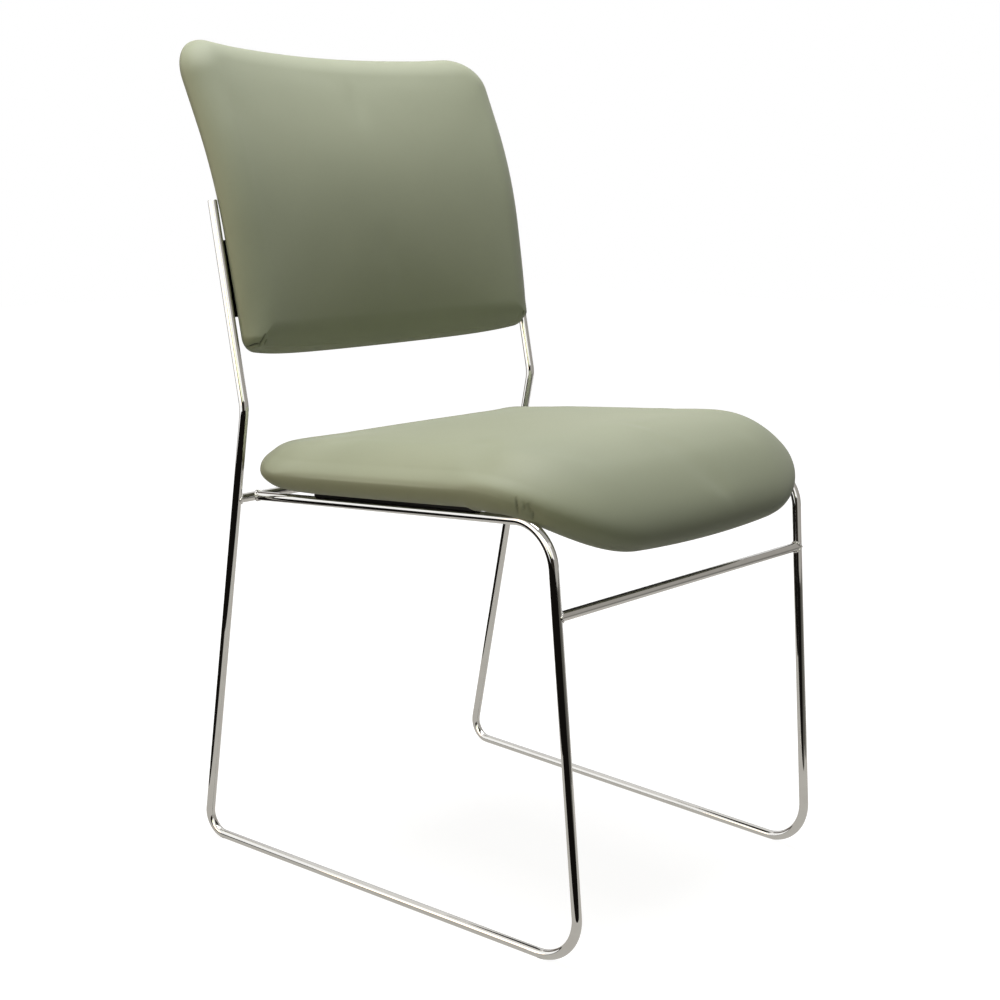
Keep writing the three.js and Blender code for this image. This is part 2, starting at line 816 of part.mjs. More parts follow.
// Back plate: it lies on the rear of the back and ends against the post
function backPlate(side) {
  const { matrix } = backPlace(side, back_plate_from_bottom);
  const post = pointAtHeight(kink, post_top, new THREE.Vector3().setFromMatrixPosition(matrix).z);
  const reach = mirrored(post, side).applyMatrix4(matrix.clone().invert()).y;
  const inner_y = -Math.sign(reach) * back_plate_edge;
  const low = -gap - back_plate_t;
  const plate = plateSolid(
    -back_plate_length / 2, back_plate_length / 2,
    Math.min(inner_y, reach), Math.max(inner_y, reach),
    low, back_plate_t, back_plate_corner_r
  ).transform(matrix.elements);
  const holes = backScrewPlaces(side).map((place) => {
    return clearHole(back_screw, low - cut_over, cut_over, place.matrix);
  });
  const post_room = straightRod(mirrored(kink, side), mirrored(post_top, side), rod_r + gap);
  return toGeometry(cutBy(plate, [...holes, post_room]));
}

// Everything that goes through or into a pad, at all of its screw places
const seat_places = [-1, 1].flatMap((side) => seatScrewPlaces(side));
const back_places = [-1, 1].flatMap((side) => backScrewPlaces(side));

function boardGeometry(pad, inset, places, nut, screw) {
  const { board_low, board_high } = layersOf(pad);
  const holes = places.map(({ matrix, squeeze }) => boardHole(nut, screw, pad, squeeze, matrix));
  return toGeometry(cutBy(sheetSolid(pad, inset, board_low, board_high), holes));
}

function coverGeometry(pad, inset, places, screw) {
  const { cover_low, cover_high } = layersOf(pad);
  const holes = places.map(({ matrix }) => {
    return clearHole(screw, -cut_over, pad.cover_t + cut_over, matrix);
  });
  return toGeometry(cutBy(sheetSolid(pad, inset, cover_low, cover_high), holes));
}

// A cushion with the pocket for its board and cover, pressed in where a side rod touches it
function cushionGeometry(pad, inset) {
  const { cover_low, pocket_high } = layersOf(pad);
  const pocket = sheetSolid(pad, inset - pocket_air, cover_low - cut_over, pocket_high);
  const rods = [-1, 1].map((side) => toSolid(sideRodSweep(side, rod_r + gap)));
  return toGeometry(cutBy(cushionSolid(pad), [pocket, ...rods]));
}

// The assembly
const chair = new THREE.Group();

function addPiece(name, geometry, look, matrix) {
  const mesh = new THREE.Mesh(geometry, new THREE.MeshStandardMaterial(look));
  mesh.name = name;
  if (matrix) {
    matrix.decompose(mesh.position, mesh.quaternion, mesh.scale);
  }
  chair.add(mesh);
}

function addFasteners(kind, side_name, places, screw, nut, pad, plate_t, ends) {
  places.forEach(({ matrix, squeeze }, i) => {
    const name = `${side_name}_${ends[i]}_${kind}`;
    const body = toGeometry(screwSolid(screw, pad, plate_t, squeeze));
    addPiece(`${name}_screw`, body, zinc, matrix);
    addPiece(`${name}_tee_nut`, toGeometry(nutSolid(nut, screw, pad, squeeze)), zinc, matrix);
  });
}

for (const [side, side_name] of [[-1, 'right'], [1, 'left']]) {
  addPiece(`${side_name}_side_rod`, sideRod(side), chrome);
  addPiece(`${side_name}_seat_plate`, seatPlate(side), black_steel);
  addPiece(`${side_name}_back_plate`, backPlate(side), black_steel);
  addFasteners('seat', side_name, seatScrewPlaces(side), seat_screw, seat_nut, seat_pad,
    seat_plate_t, ['rear', 'front']);
  addFasteners('back', side_name, backScrewPlaces(side), back_screw, back_nut, back_pad,
    back_plate_t, ['lower', 'upper']);
}
addPiece('rear_cross_rod', crossRod(rear_rod_end, rear_corner, kink), chrome);
addPiece('front_stretcher', crossRod(stretcher_end, front_corner, knee), chrome);
addPiece('seat_cushion', cushionGeometry(seat_pad, seat_board_inset), vinyl);
addPiece('seat_board', boardGeometry(seat_pad, seat_board_inset, seat_places, seat_nut, seat_screw),
  plywood);
addPiece('seat_base_cloth', coverGeometry(seat_pad, seat_board_inset, seat_places, seat_screw),
  base_cloth);
addPiece('back_cushion', cushionGeometry(back_pad, back_board_inset), vinyl);
addPiece('back_board', boardGeometry(back_pad, back_board_inset, back_places, back_nut, back_screw),
  plywood);
addPiece('back_rear_panel', coverGeometry(back_pad, back_board_inset, back_places, back_screw),
  vinyl);

// The origin is on the floor, under the middle of the whole chair
const extent = new THREE.Box3().setFromObject(chair);
chair.position.y = -(extent.min.y + extent.max.y) / 2;

export default chair;
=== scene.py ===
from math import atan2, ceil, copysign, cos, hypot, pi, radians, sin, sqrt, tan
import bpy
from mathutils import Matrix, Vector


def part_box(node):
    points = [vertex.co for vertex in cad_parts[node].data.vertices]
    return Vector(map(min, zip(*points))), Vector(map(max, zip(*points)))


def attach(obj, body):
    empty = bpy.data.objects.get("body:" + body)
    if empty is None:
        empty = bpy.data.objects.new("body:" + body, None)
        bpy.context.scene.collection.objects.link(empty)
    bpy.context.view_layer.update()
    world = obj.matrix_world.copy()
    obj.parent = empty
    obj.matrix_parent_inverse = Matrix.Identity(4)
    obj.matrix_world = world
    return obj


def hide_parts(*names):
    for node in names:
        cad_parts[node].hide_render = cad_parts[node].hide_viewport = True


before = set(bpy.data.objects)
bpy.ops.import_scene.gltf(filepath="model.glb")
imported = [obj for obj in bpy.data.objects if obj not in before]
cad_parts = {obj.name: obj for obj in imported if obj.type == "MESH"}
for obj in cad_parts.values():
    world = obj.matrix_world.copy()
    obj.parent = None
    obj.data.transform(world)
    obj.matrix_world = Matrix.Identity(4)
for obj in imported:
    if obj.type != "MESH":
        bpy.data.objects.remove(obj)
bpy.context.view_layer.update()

# Sled base visitor chair: smooth chrome rods, vinyl pads and small fittings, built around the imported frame.
# Lengths are in metres. The chair faces -Y, +Z is up and the floor is z = 0.
from types import SimpleNamespace

import bmesh
import bpy
import numpy as np
from mathutils import Matrix, Vector

MM = 0.001
GAP = 0.3 * MM
X_AXIS = Vector((1, 0, 0))
Z_AXIS = Vector((0, 0, 1))
SIDES = ((-1, "right"), (1, "left"))

# Frame of the chair
SEAT_HALF_WIDTH = 218.4 * MM
ROD_R = 4.75 * MM
RUNNER_LENGTH = 513 * MM
KNEE_HALF_WIDTH = SEAT_HALF_WIDTH - 23 * MM
FRONT_FLOOR_HALF_WIDTH = KNEE_HALF_WIDTH - 6.7 * MM
RAIL_REAR_HALF_WIDTH = KNEE_HALF_WIDTH - 4.5 * MM
POST_HALF_WIDTH = SEAT_HALF_WIDTH - 0.1 * MM
REAR_FLOOR_HALF_WIDTH = POST_HALF_WIDTH - 5.8 * MM
KNEE_SETBACK = 32.4 * MM
KNEE_HEIGHT = 415.1 * MM
KINK_SETBACK = 91.3 * MM
KINK_HEIGHT = KNEE_HEIGHT + 65.2 * MM
POST_TOP_SETBACK = 50.1 * MM
POST_TOP_HEIGHT = KINK_HEIGHT + 207.9 * MM
REAR_ROD_HEIGHT = KNEE_HEIGHT - 29.3 * MM
STRETCHER_HEIGHT = KNEE_HEIGHT - 84.5 * MM
KINK_BEND_R = 45 * MM
REAR_FLOOR_BEND_R = 22 * MM
FRONT_FLOOR_BEND_R = 45 * MM
KNEE_BEND_R = 42 * MM

# Seat: its spine surface, its plan and its layers
SEAT_REAR_CURVE = 74.5 * MM
SEAT_FRONT_CURVE = 135 * MM
SEAT_REAR_RISE_ANGLE = 0.26
SEAT_FRONT_ROLL_ANGLE = 1.107
SEAT_FLAT_FROM_REAR_ROD = 72 * MM
SEAT_CURVE_BEHIND_KNEE = 81.5 * MM
SEAT_FRONT_DRAW_SHARE = 0.2
SEAT_REAR_DRAW_SHARE = 0.066
SEAT_WAIST_SHARE = 0.55
SEAT_FRONT_BOW = 15 * MM
SEAT_REAR_BOW = 5.8 * MM
SEAT_TOP_DEPTH = 31 * MM
SEAT_UNDER_DEPTH = 17.9 * MM
SEAT_UNDER_ROLL = 22.5 * MM
SEAT_CROWN = 8.5 * MM
SEAT_DISH = 1.9 * MM
SEAT_DISH_PLACE_SHARE = 0.4
SEAT_REAR_THIN_SHARE = 0.155
SEAT_REAR_THIN_REACH_SHARE = 0.3
SEAT_BOARD_INSET = 26 * MM
SEAT_CLOTH_T = 1 * MM
SEAT_PLATE_T = 4 * MM

# Back
BACK_HALF_WIDTH = POST_HALF_WIDTH - 2.5 * MM
BACK_STRAIGHT = 122 * MM
BACK_CURVE = 118 * MM
BACK_TOP = 93 * MM
BACK_CURVE_ANGLE = 0.219
BACK_BOTTOM_HEIGHT = KINK_HEIGHT + 54.2 * MM
BACK_AHEAD_OF_POSTS = 3.9 * MM
BACK_PLAN_SAG = 34.5 * MM
BACK_TAPER_SHARE = 0.037
BACK_SIDE_DRAW = 1.8 * MM
BACK_FRONT_DEPTH = 24.5 * MM
BACK_FRONT_ROLL = 33.5 * MM
BACK_REAR_DEPTH = 10 * MM
BACK_REAR_ROLL = 12 * MM
BACK_CROWN = 21.2 * MM
BACK_BOTTOM_THIN = 7.2 * MM
BACK_TOP_THICK = 1.4 * MM
BACK_END_REACH = 90 * MM
BACK_BOARD_INSET = 13.5 * MM

# Camera of the photograph
CAMERA_FROM_REAR_ROD = Vector((-1.2637, -1.3256, 0.0))
CAMERA_HEIGHT = 0.7127
CAMERA_YAW = 0.8293
CAMERA_PITCH = -0.1943
CAMERA_LENS_SHARE = 1.6503
SENSOR_WIDTH_MM = 36


def point_at_height(low, high, height):
    return low.lerp(high, (height - low.z) / (high.z - low.z))


# Corners of the left side rod, with the floor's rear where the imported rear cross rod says
REAR_ROD_LOW, REAR_ROD_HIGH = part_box("rear_cross_rod")
REAR_CORNER_BACK = KINK_SETBACK * (REAR_ROD_HEIGHT - ROD_R) / (KINK_HEIGHT - ROD_R)
FLOOR_REAR_Y = ((REAR_ROD_LOW + REAR_ROD_HIGH) / 2).y + REAR_CORNER_BACK
FLOOR_FRONT_Y = FLOOR_REAR_Y - RUNNER_LENGTH
POST_TOP = Vector((POST_HALF_WIDTH, FLOOR_REAR_Y - POST_TOP_SETBACK, POST_TOP_HEIGHT))
KINK = Vector((POST_HALF_WIDTH, FLOOR_REAR_Y - KINK_SETBACK, KINK_HEIGHT))
REAR_CORNER = Vector((REAR_FLOOR_HALF_WIDTH, FLOOR_REAR_Y, ROD_R))
FRONT_CORNER = Vector((FRONT_FLOOR_HALF_WIDTH, FLOOR_FRONT_Y, ROD_R))
KNEE = Vector((KNEE_HALF_WIDTH, FLOOR_FRONT_Y + KNEE_SETBACK, KNEE_HEIGHT))
REAR_ROD_END = point_at_height(REAR_CORNER, KINK, REAR_ROD_HEIGHT)
STRETCHER_END = point_at_height(FRONT_CORNER, KNEE, STRETCHER_HEIGHT)
RAIL_END = Vector((RAIL_REAR_HALF_WIDTH, REAR_ROD_END.y, REAR_ROD_HEIGHT))
RAIL_SLOPE = atan2(KNEE.z - RAIL_END.z, RAIL_END.y - KNEE.y)
POST_LEAN = atan2(POST_TOP.y - KINK.y, POST_TOP.z - KINK.z)
SEAT_FLAT_END = hypot(KNEE.z - RAIL_END.z, RAIL_END.y - KNEE.y) - SEAT_CURVE_BEHIND_KNEE
SEAT_FLAT = SEAT_FLAT_END - SEAT_FLAT_FROM_REAR_ROD
SEAT_LENGTH = SEAT_REAR_CURVE + SEAT_FLAT + SEAT_FRONT_CURVE
SEAT_STAND = ROD_R + GAP + SEAT_PLATE_T + GAP + SEAT_UNDER_DEPTH
BACK_LENGTH = BACK_STRAIGHT + BACK_CURVE + BACK_TOP
POST_AT_BOTTOM = point_at_height(KINK, POST_TOP, BACK_BOTTOM_HEIGHT)
BACK_BOTTOM_Y = POST_AT_BOTTOM.y - ROD_R / cos(POST_LEAN) - BACK_AHEAD_OF_POSTS


def mirrored(point, side):
    return Vector((point.x * side, point.y, point.z))


# Materials
class Nodes:
    """Adds nodes to a material or a world. Inputs are values, or outputs of other nodes to link to."""

    def __init__(self, owner):
        owner.use_nodes = True
        self.owner = owner
        self.tree = owner.node_tree
        self.tree.nodes.clear()

    def fill(self, socket, value):
        if isinstance(value, bpy.types.NodeSocket):
            self.tree.links.new(value, socket)
        else:
            socket.default_value = value

    def add(self, kind, *inputs, **values):
        node = self.tree.nodes.new(kind)
        for name, value in values.items():
            if name in node.inputs:
                self.fill(node.inputs[name], value)
            else:
                setattr(node, name, value)
        for socket, value in zip(node.inputs, inputs):
            self.fill(socket, value)
        return node

    def ranged(self, value, low, high, from_low=0.0, from_high=1.0):
        limits = {"From Min": from_low, "From Max": from_high, "To Min": low, "To Max": high}
        return self.add("ShaderNodeMapRange", Value=value, **limits).outputs["Result"]


class Finish(Nodes):
    """A material whose colour, roughness and fine relief come from patterns."""

    def __init__(self, name, **settings):
        super().__init__(bpy.data.materials.new(name))
        self.place = self.add("ShaderNodeTexCoord").outputs["Object"]
        self.shader = self.add("ShaderNodeBsdfPrincipled", **settings)
        self.add("ShaderNodeOutputMaterial", Surface=self.shader.outputs["BSDF"])

    def noise(self, scale, detail=3.0, roughness=0.5, place=None):
        pattern = {"Scale": scale, "Detail": detail, "Roughness": roughness}
        return self.add("ShaderNodeTexNoise", Vector=place or self.place, **pattern).outputs["Fac"]

    def cells(self, scale, feature="F1"):
        node = self.add("ShaderNodeTexVoronoi", feature=feature, Scale=scale, Vector=self.place)
        return node.outputs["Distance"]

    def sum(self, first, second, weight):
        return self.add("ShaderNodeMath", second, weight, first, operation="MULTIPLY_ADD").outputs["Value"]

    def ramp(self, pattern, *stops):
        node = self.add("ShaderNodeValToRGB", Fac=pattern)
        elements = node.color_ramp.elements
        for element, (position, colour) in zip(elements, (stops[0], stops[-1])):
            element.position = position
            element.color = (*colour, 1)
        for position, colour in stops[1:-1]:
            elements.new(position).color = (*colour, 1)
        return node.outputs["Color"]

    def dressed(self, colour, wear, rough, relief, depth, strength):
        """The material, with its roughness between two values and its relief of a given depth."""
        bump = self.add("ShaderNodeBump", Height=relief, Distance=depth, Strength=strength)
        self.fill(self.shader.inputs["Base Color"], colour)
        self.fill(self.shader.inputs["Roughness"], self.ranged(wear, *rough))
        self.fill(self.shader.inputs["Normal"], bump.outputs["Normal"])
        return self.owner


# Smooth sage vinyl: a fine pebble grain over soft, wide colour drift, with painted shade darkening it down in
# its tucks
# Painted shade in the tucks: the name of the mask that press_creases stores on the covers, and the dark
# colour that the vinyl is multiplied by there
TUCK_SHADE_MASK = "tuck_shade_mask"
PAINTED_TUCK_SHADE = (0.10, 0.10, 0.08)
MIX_FACTOR, MIX_FIRST_COLOUR, MIX_SECOND_COLOUR, MIX_COLOUR_RESULT = 0, 6, 7, 2


def vinyl_material():
    nodes = Finish("sage_vinyl", **{"IOR": 1.5, "Sheen Weight": 0.08, "Sheen Roughness": 0.5})
    drift = nodes.ramp(nodes.noise(7, 2), (0.3, (0.262, 0.284, 0.190)), (0.7, (0.282, 0.303, 0.204)))
    # Painted shade: the vinyl's colour is multiplied towards the dark tuck colour where the tuck mask is high
    tuck_shade_mask = nodes.add("ShaderNodeAttribute", attribute_name=TUCK_SHADE_MASK)
    shaded = nodes.add("ShaderNodeMix", data_type="RGBA", blend_type="MULTIPLY")
    nodes.fill(shaded.inputs[MIX_FACTOR], tuck_shade_mask.outputs["Fac"])
    nodes.fill(shaded.inputs[MIX_FIRST_COLOUR], drift)
    nodes.fill(shaded.inputs[MIX_SECOND_COLOUR], (*PAINTED_TUCK_SHADE, 1))
    pebble = nodes.sum(nodes.cells(1150, "SMOOTH_F1"), nodes.noise(4200, 2), 0.35)
    return nodes.dressed(shaded.outputs[MIX_COLOUR_RESULT], pebble, (0.54, 0.66), pebble, 0.05 * MM, 0.35)


# Chrome plate: mirror bright, with faint polishing marks
def chrome_material(name, rough, ripple):
    nodes = Finish(name, Metallic=1.0)
    colour = nodes.ramp(nodes.noise(60, 4), (0.3, (0.63, 0.62, 0.60)), (0.7, (0.66, 0.655, 0.635)))
    return nodes.dressed(colour, nodes.noise(2600, 3, 0.7), rough, nodes.noise(340, 2), ripple, 0.5)


# Powder coat: near black, with the fine skin of an orange
def powder_coat_material():
    nodes = Finish("black_powder_coat", **{"Specular IOR Level": 0.12})
    colour = nodes.ramp(nodes.noise(45), (0.3, (0.004, 0.004, 0.004)), (0.7, (0.008, 0.008, 0.008)))
    peel = nodes.noise(900, 2)
    return nodes.dressed(colour, peel, (0.36, 0.5), peel, 0.06 * MM, 0.5)


# Moulded plywood: long grain along Y
def plywood_material():
    nodes = Finish("moulded_plywood")
    along = nodes.add("ShaderNodeMapping", Vector=nodes.place, Scale=(60, 4, 60)).outputs["Vector"]
    grain = nodes.noise(1.6, 6, 0.65, along)
    pale = (0.8, (0.66, 0.45, 0.24))
    colour = nodes.ramp(grain, (0.25, (0.36, 0.20, 0.085)), (0.5, (0.55, 0.35, 0.16)), pale)
    return nodes.dressed(colour, grain, (0.6, 0.8), grain, 0.1 * MM, 0.4)


# Thin black non-woven cloth
def dust_cloth_material():
    nodes = Finish("black_dust_cloth", **{"Sheen Weight": 0.2})
    fibres = nodes.noise(1500, 5, 0.75)
    colour = nodes.ramp(fibres, (0.3, (0.008, 0.008, 0.009)), (0.75, (0.026, 0.026, 0.027)))
    dotted = nodes.sum(fibres, nodes.cells(520), 0.6)
    return nodes.dressed(colour, fibres, (0.82, 0.98), dotted, 0.15 * MM, 0.6)


# Zinc plate on screws, tee nuts and staples
def zinc_material():
    nodes = Finish("zinc_plate", Metallic=1.0)
    bloom = nodes.noise(420, 4)
    colour = nodes.ramp(bloom, (0.3, (0.44, 0.45, 0.46)), (0.7, (0.60, 0.60, 0.58)))
    return nodes.dressed(colour, bloom, (0.22, 0.42), nodes.noise(1800), 0.02 * MM, 0.5)


VINYL = vinyl_material()
CHROME = chrome_material("chrome_plate", (0.015, 0.06), 0.004 * MM)
WELD_CHROME = chrome_material("chrome_over_weld", (0.05, 0.12), 0.03 * MM)
POWDER_COAT = powder_coat_material()
PLYWOOD = plywood_material()
DUST_CLOTH = dust_cloth_material()
ZINC = zinc_material()


# Pieces
def add_object(name, data):
    item = bpy.data.objects.new(name, data)
    bpy.context.scene.collection.objects.link(item)
    return item


def add_piece(name, mesh, material, replaced=()):
    mesh.materials.clear()
    mesh.materials.append(material)
    mesh.shade_smooth()
    piece = add_object(name, mesh)
    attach(piece, "root")
    if replaced:
        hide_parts(*replaced)
    return piece


def mesh_of(name, points, faces):
    mesh = bpy.data.meshes.new(name)
    mesh.from_pydata([tuple(point) for point in points], [], faces)
    bm = bmesh.new()
    bm.from_mesh(mesh)
    bmesh.ops.recalc_face_normals(bm, faces=bm.faces)
    bm.to_mesh(mesh)
    bm.free()
    return mesh


# Faces between two rings of point numbers, and from a ring to a middle point
def band_faces(first, second):
    return np.stack([first, np.roll(first, -1), np.roll(second, -1), second], axis=-1).tolist()


def fan_faces(ring, middle):
    return [(a, b, middle) for a, b in zip(ring.tolist(), np.roll(ring, -1).tolist())]


def rows_of_faces(numbers):
    return [face for first, second in zip(numbers[:-1], numbers[1:]) for face in band_faces(first, second)]


def numbered(rings, start=0):
    return start + np.arange(len(rings) * len(rings[0])).reshape(len(rings), -1)


def tube_faces(numbers):
    return rows_of_faces(numbers) + [numbers[0][::-1].tolist(), numbers[-1].tolist()]


def tube_mesh(name, rings):
    return mesh_of(name, [p for ring in rings for p in ring], tube_faces(numbered(rings)))


def closed_mesh(name, rings, first_middle, last_middle):
    """A mesh of rings of points, closed at both ends round a middle point."""
    numbers = numbered(rings)
    ends = fan_faces(numbers[0], numbers.size) + fan_faces(numbers[-1], numbers.size + 1)
    return mesh_of(name, np.concatenate([*rings, first_middle, last_middle]), rows_of_faces(numbers) + ends)


# Rods. Rings close to both ends of each straight run keep the mirror finish true along it
ROD_SIDES = 40
ROD_BEND_STEP = radians(2.5)
ROD_END_ROUND = 0.7 * MM
ROD_END_STEPS = 4
LONG_RUN = 15 * MM
COLLAR = 1 * MM
END_COLLAR = 8 * MM
END_SHOULDER = 0.3 * MM
FIT_START = 4 * ROD_R
CROSS_RODS = (
    ("rear_cross_rod", REAR_ROD_END, REAR_CORNER, KINK),
    ("front_stretcher", STRETCHER_END, FRONT_CORNER, KNEE),
)


def bent_path(corners, radii):
    """Points with their headings, along straight stretches that are joined by round bends."""
    path = [(corners[0], (corners[1] - corners[0]).normalized())]
    for before, corner, after, radius in zip(corners, corners[1:], corners[2:], radii):
        arriving = (corner - before).normalized()
        leaving = (after - corner).normalized()
        turn = arriving.angle(leaving)
        inward = (leaving - arriving).normalized()
        centre = corner + inward * (radius / cos(turn / 2))
        axis = arriving.cross(leaving).normalized()
        first = corner - arriving * (radius * tan(turn / 2)) - centre
        steps = ceil(turn / ROD_BEND_STEP)
        for i in range(steps + 1):
            rotation = Matrix.Rotation(turn * i / steps, 3, axis)
            path.append((rotation @ first + centre, rotation @ arriving))
    path.append((corners[-1], (corners[-1] - corners[-2]).normalized()))
    return path


def with_collars(path):
    collared = path[:1]
    for (before, _), (after, heading) in zip(path, path[1:]):
        run = after - before
        if run.length > LONG_RUN:
            along = run.normalized()
            collared += [(before + along * COLLAR, along), (after - along * COLLAR, along)]
        collared.append((after, heading))
    return collared


def section_ring(point, heading, reference, radius=ROD_R, sides=ROD_SIDES):
    across = (reference - heading * reference.dot(heading)).normalized()
    up = across.cross(heading)
    angles = [2 * pi * i / sides for i in range(sides)]
    return [point + across * (radius * cos(a)) + up * (radius * sin(a)) for a in angles]


# How far a line from a point runs before it meets a rod
def reach_to_rod(point, heading, rod_point, rod_heading, radius):
    across = heading - rod_heading * heading.dot(rod_heading)
    offset = point - rod_point
    offset -= rod_heading * offset.dot(rod_heading)
    a = across.length_squared
    b = offset.dot(across)
    c = offset.length_squared - radius ** 2
    return (-b - sqrt(max(b ** 2 - a * c, 0))) / a


def fitted_end(point, heading, reference, rod_point, rod_heading):
    """Three last rings of a rod: a collar, and two a little apart that fit the side of the rod ahead."""
    ring = section_ring(point - heading * FIT_START, heading, reference)
    reaches = [reach_to_rod(p, heading, rod_point, rod_heading, ROD_R - GAP / 2) for p in ring]
    rings = [section_ring(point - heading * END_COLLAR, heading, reference)]
    for back in (END_SHOULDER, 0):
        rings.append([p + heading * (reach - back) for p, reach in zip(ring, reaches)])
    return rings


def leg_heading(low, high, side):
    return (mirrored(high, side) - mirrored(low, side)).normalized()


def side_rod(side, name):
    corners = [mirrored(p, side) for p in (POST_TOP, KINK, REAR_CORNER, FRONT_CORNER, KNEE, RAIL_END)]
    radii = (KINK_BEND_R, REAR_FLOOR_BEND_R, FRONT_FLOOR_BEND_R, KNEE_BEND_R)
    path = bent_path(corners, radii)
    top, heading = path[0]
    rings = []
    for i in range(ROD_END_STEPS + 1):
        angle = pi / 2 * i / ROD_END_STEPS
        along = ROD_END_ROUND * (1 - cos(angle))
        radius = ROD_R - ROD_END_ROUND * (1 - sin(angle))
        rings.append(section_ring(top + heading * along, heading, X_AXIS, radius))
    path[0] = (top + heading * ROD_END_ROUND, heading)
    rings += [section_ring(point, heading, X_AXIS) for point, heading in with_collars(path)[1:-2]]
    rings += fitted_end(*path[-1], X_AXIS, REAR_ROD_END, X_AXIS)
    add_piece(name + "_chrome", tube_mesh(name, rings), CHROME, [name])


def cross_rod(name, end, leg_low, leg_high):
    rings = []
    for side in (1, -1):
        leg = leg_heading(leg_low, leg_high, side)
        ends = fitted_end(mirrored(end, side), X_AXIS * side, Z_AXIS, mirrored(leg_low, side), leg)
        if side == 1:
            rings += ends[::-1]
        else:
            rings += [[ring[-i % ROD_SIDES] for i in range(ROD_SIDES)] for ring in ends]
    add_piece(name + "_chrome", tube_mesh(name, rings), CHROME, [name])


# Weld beads, with the ripples that welding leaves
BEAD_R = 1.1 * MM
BEAD_OUT = BEAD_R / 3
BEAD_RIPPLE_SHARE = 0.14
BEAD_WANDER_SHARE = 0.6
BEAD_RINGS = 120
BEAD_SIDES = 12
BEAD_RIPPLES = 24
BEAD_WANDERS = 3


def joint_bead(name, point, heading, rod_point, rod_heading, phase):
    """The bead all round a rod that ends on the side of another one."""
    ring = section_ring(point - heading * FIT_START, heading, rod_heading, ROD_R + BEAD_OUT, BEAD_RINGS)
    curve = [p + heading * reach_to_rod(p, heading, rod_point, rod_heading, ROD_R + BEAD_OUT) for p in ring]
    rings = []
    for i, centre in enumerate(curve):
        along = (curve[(i + 1) % BEAD_RINGS] - curve[i - 1]).normalized()
        turn = 2 * pi * i / BEAD_RINGS
        wander = BEAD_WANDER_SHARE * sin(BEAD_WANDERS * turn + 2 * phase)
        ripple = BEAD_RIPPLE_SHARE * (sin(BEAD_RIPPLES * turn + phase) + wander)
        rings.append(section_ring(centre, along, heading, BEAD_R * (1 + ripple), BEAD_SIDES))
    numbers = numbered(rings)
    faces = rows_of_faces(numbers) + band_faces(numbers[-1], numbers[0])
    mesh = mesh_of(name, [p for ring in rings for p in ring], faces)
    add_piece(name, mesh, WELD_CHROME)


def add_rods():
    for side, side_name in SIDES:
        side_rod(side, f"{side_name}_side_rod")
        end = mirrored(RAIL_END, side)
        forward = leg_heading(KNEE, RAIL_END, side)
        joint_bead(f"{side_name}_rail_weld", end, forward, REAR_ROD_END, X_AXIS, side)
        for name, rod_end, low, high in CROSS_RODS:
            leg = leg_heading(low, high, side)
            end = mirrored(rod_end, side)
            joint_bead(f"{side_name}_{name}_weld", end, X_AXIS * side, mirrored(low, side), leg, 2 * side)
    for rod in CROSS_RODS:
        cross_rod(*rod)


# Small functions for arrays of places
def limited(value):
    return np.clip(value, 0, 1)


def eased(value, start, end):
    """A smooth step: 0 at the start and 1 at the end, which may be the lower one."""
    share = limited((value - start) / (end - start))
    return share * share * (3 - 2 * share)


def arched(share):
    """1 in the middle and 0 at both ends."""
    return 1 - (2 * share - 1) ** 2


def roll_share(distance, roll, power):
    return (1 - (1 - limited(distance / roll)) ** 2) ** power


def bend(heading, curvature, length):
    end = heading + curvature * length
    return (np.sin(end) - sin(heading)) / curvature, (cos(heading) - np.cos(end)) / curvature


# Curved surfaces of the seat and the back: s runs from the seat's rear and from the back's bottom
def seat_spine(s):
    on_rear = np.minimum(s - SEAT_REAR_CURVE, 0)
    on_flat = np.clip(s - SEAT_REAR_CURVE, 0, SEAT_FLAT)
    on_front = np.maximum(s - SEAT_REAR_CURVE - SEAT_FLAT, 0)
    rear_curvature = SEAT_REAR_RISE_ANGLE / SEAT_REAR_CURVE
    front_curvature = -SEAT_FRONT_ROLL_ANGLE / SEAT_FRONT_CURVE
    rear = bend(RAIL_SLOPE, rear_curvature, on_rear)
    front = bend(RAIL_SLOPE, front_curvature, on_front)
    along = rear[0] + on_flat * cos(RAIL_SLOPE) + front[0]
    rise = rear[1] + on_flat * sin(RAIL_SLOPE) + front[1]
    reach = SEAT_FLAT_FROM_REAR_ROD
    start_y = RAIL_END.y - cos(RAIL_SLOPE) * reach + sin(RAIL_SLOPE) * SEAT_STAND
    start_z = RAIL_END.z + sin(RAIL_SLOPE) * reach + cos(RAIL_SLOPE) * SEAT_STAND
    heading = RAIL_SLOPE + rear_curvature * on_rear + front_curvature * on_front
    return start_y - along, start_z + rise, heading


def seat_surface(x, plan_s, height):
    from_middle = 2 * plan_s / SEAT_LENGTH - 1
    across = (x / SEAT_HALF_WIDTH) ** 2
    s = plan_s + across * (SEAT_REAR_BOW * limited(-from_middle) - SEAT_FRONT_BOW * limited(from_middle))
    from_waist = s / SEAT_LENGTH - SEAT_WAIST_SHARE
    draw_share = np.where(from_waist > 0, SEAT_FRONT_DRAW_SHARE, SEAT_REAR_DRAW_SHARE)
    y, z, heading = seat_spine(s)
    x = x * (1 - draw_share * from_waist ** 2)
    return np.stack([x, y + height * np.sin(heading), z + height * np.cos(heading)], axis=-1)


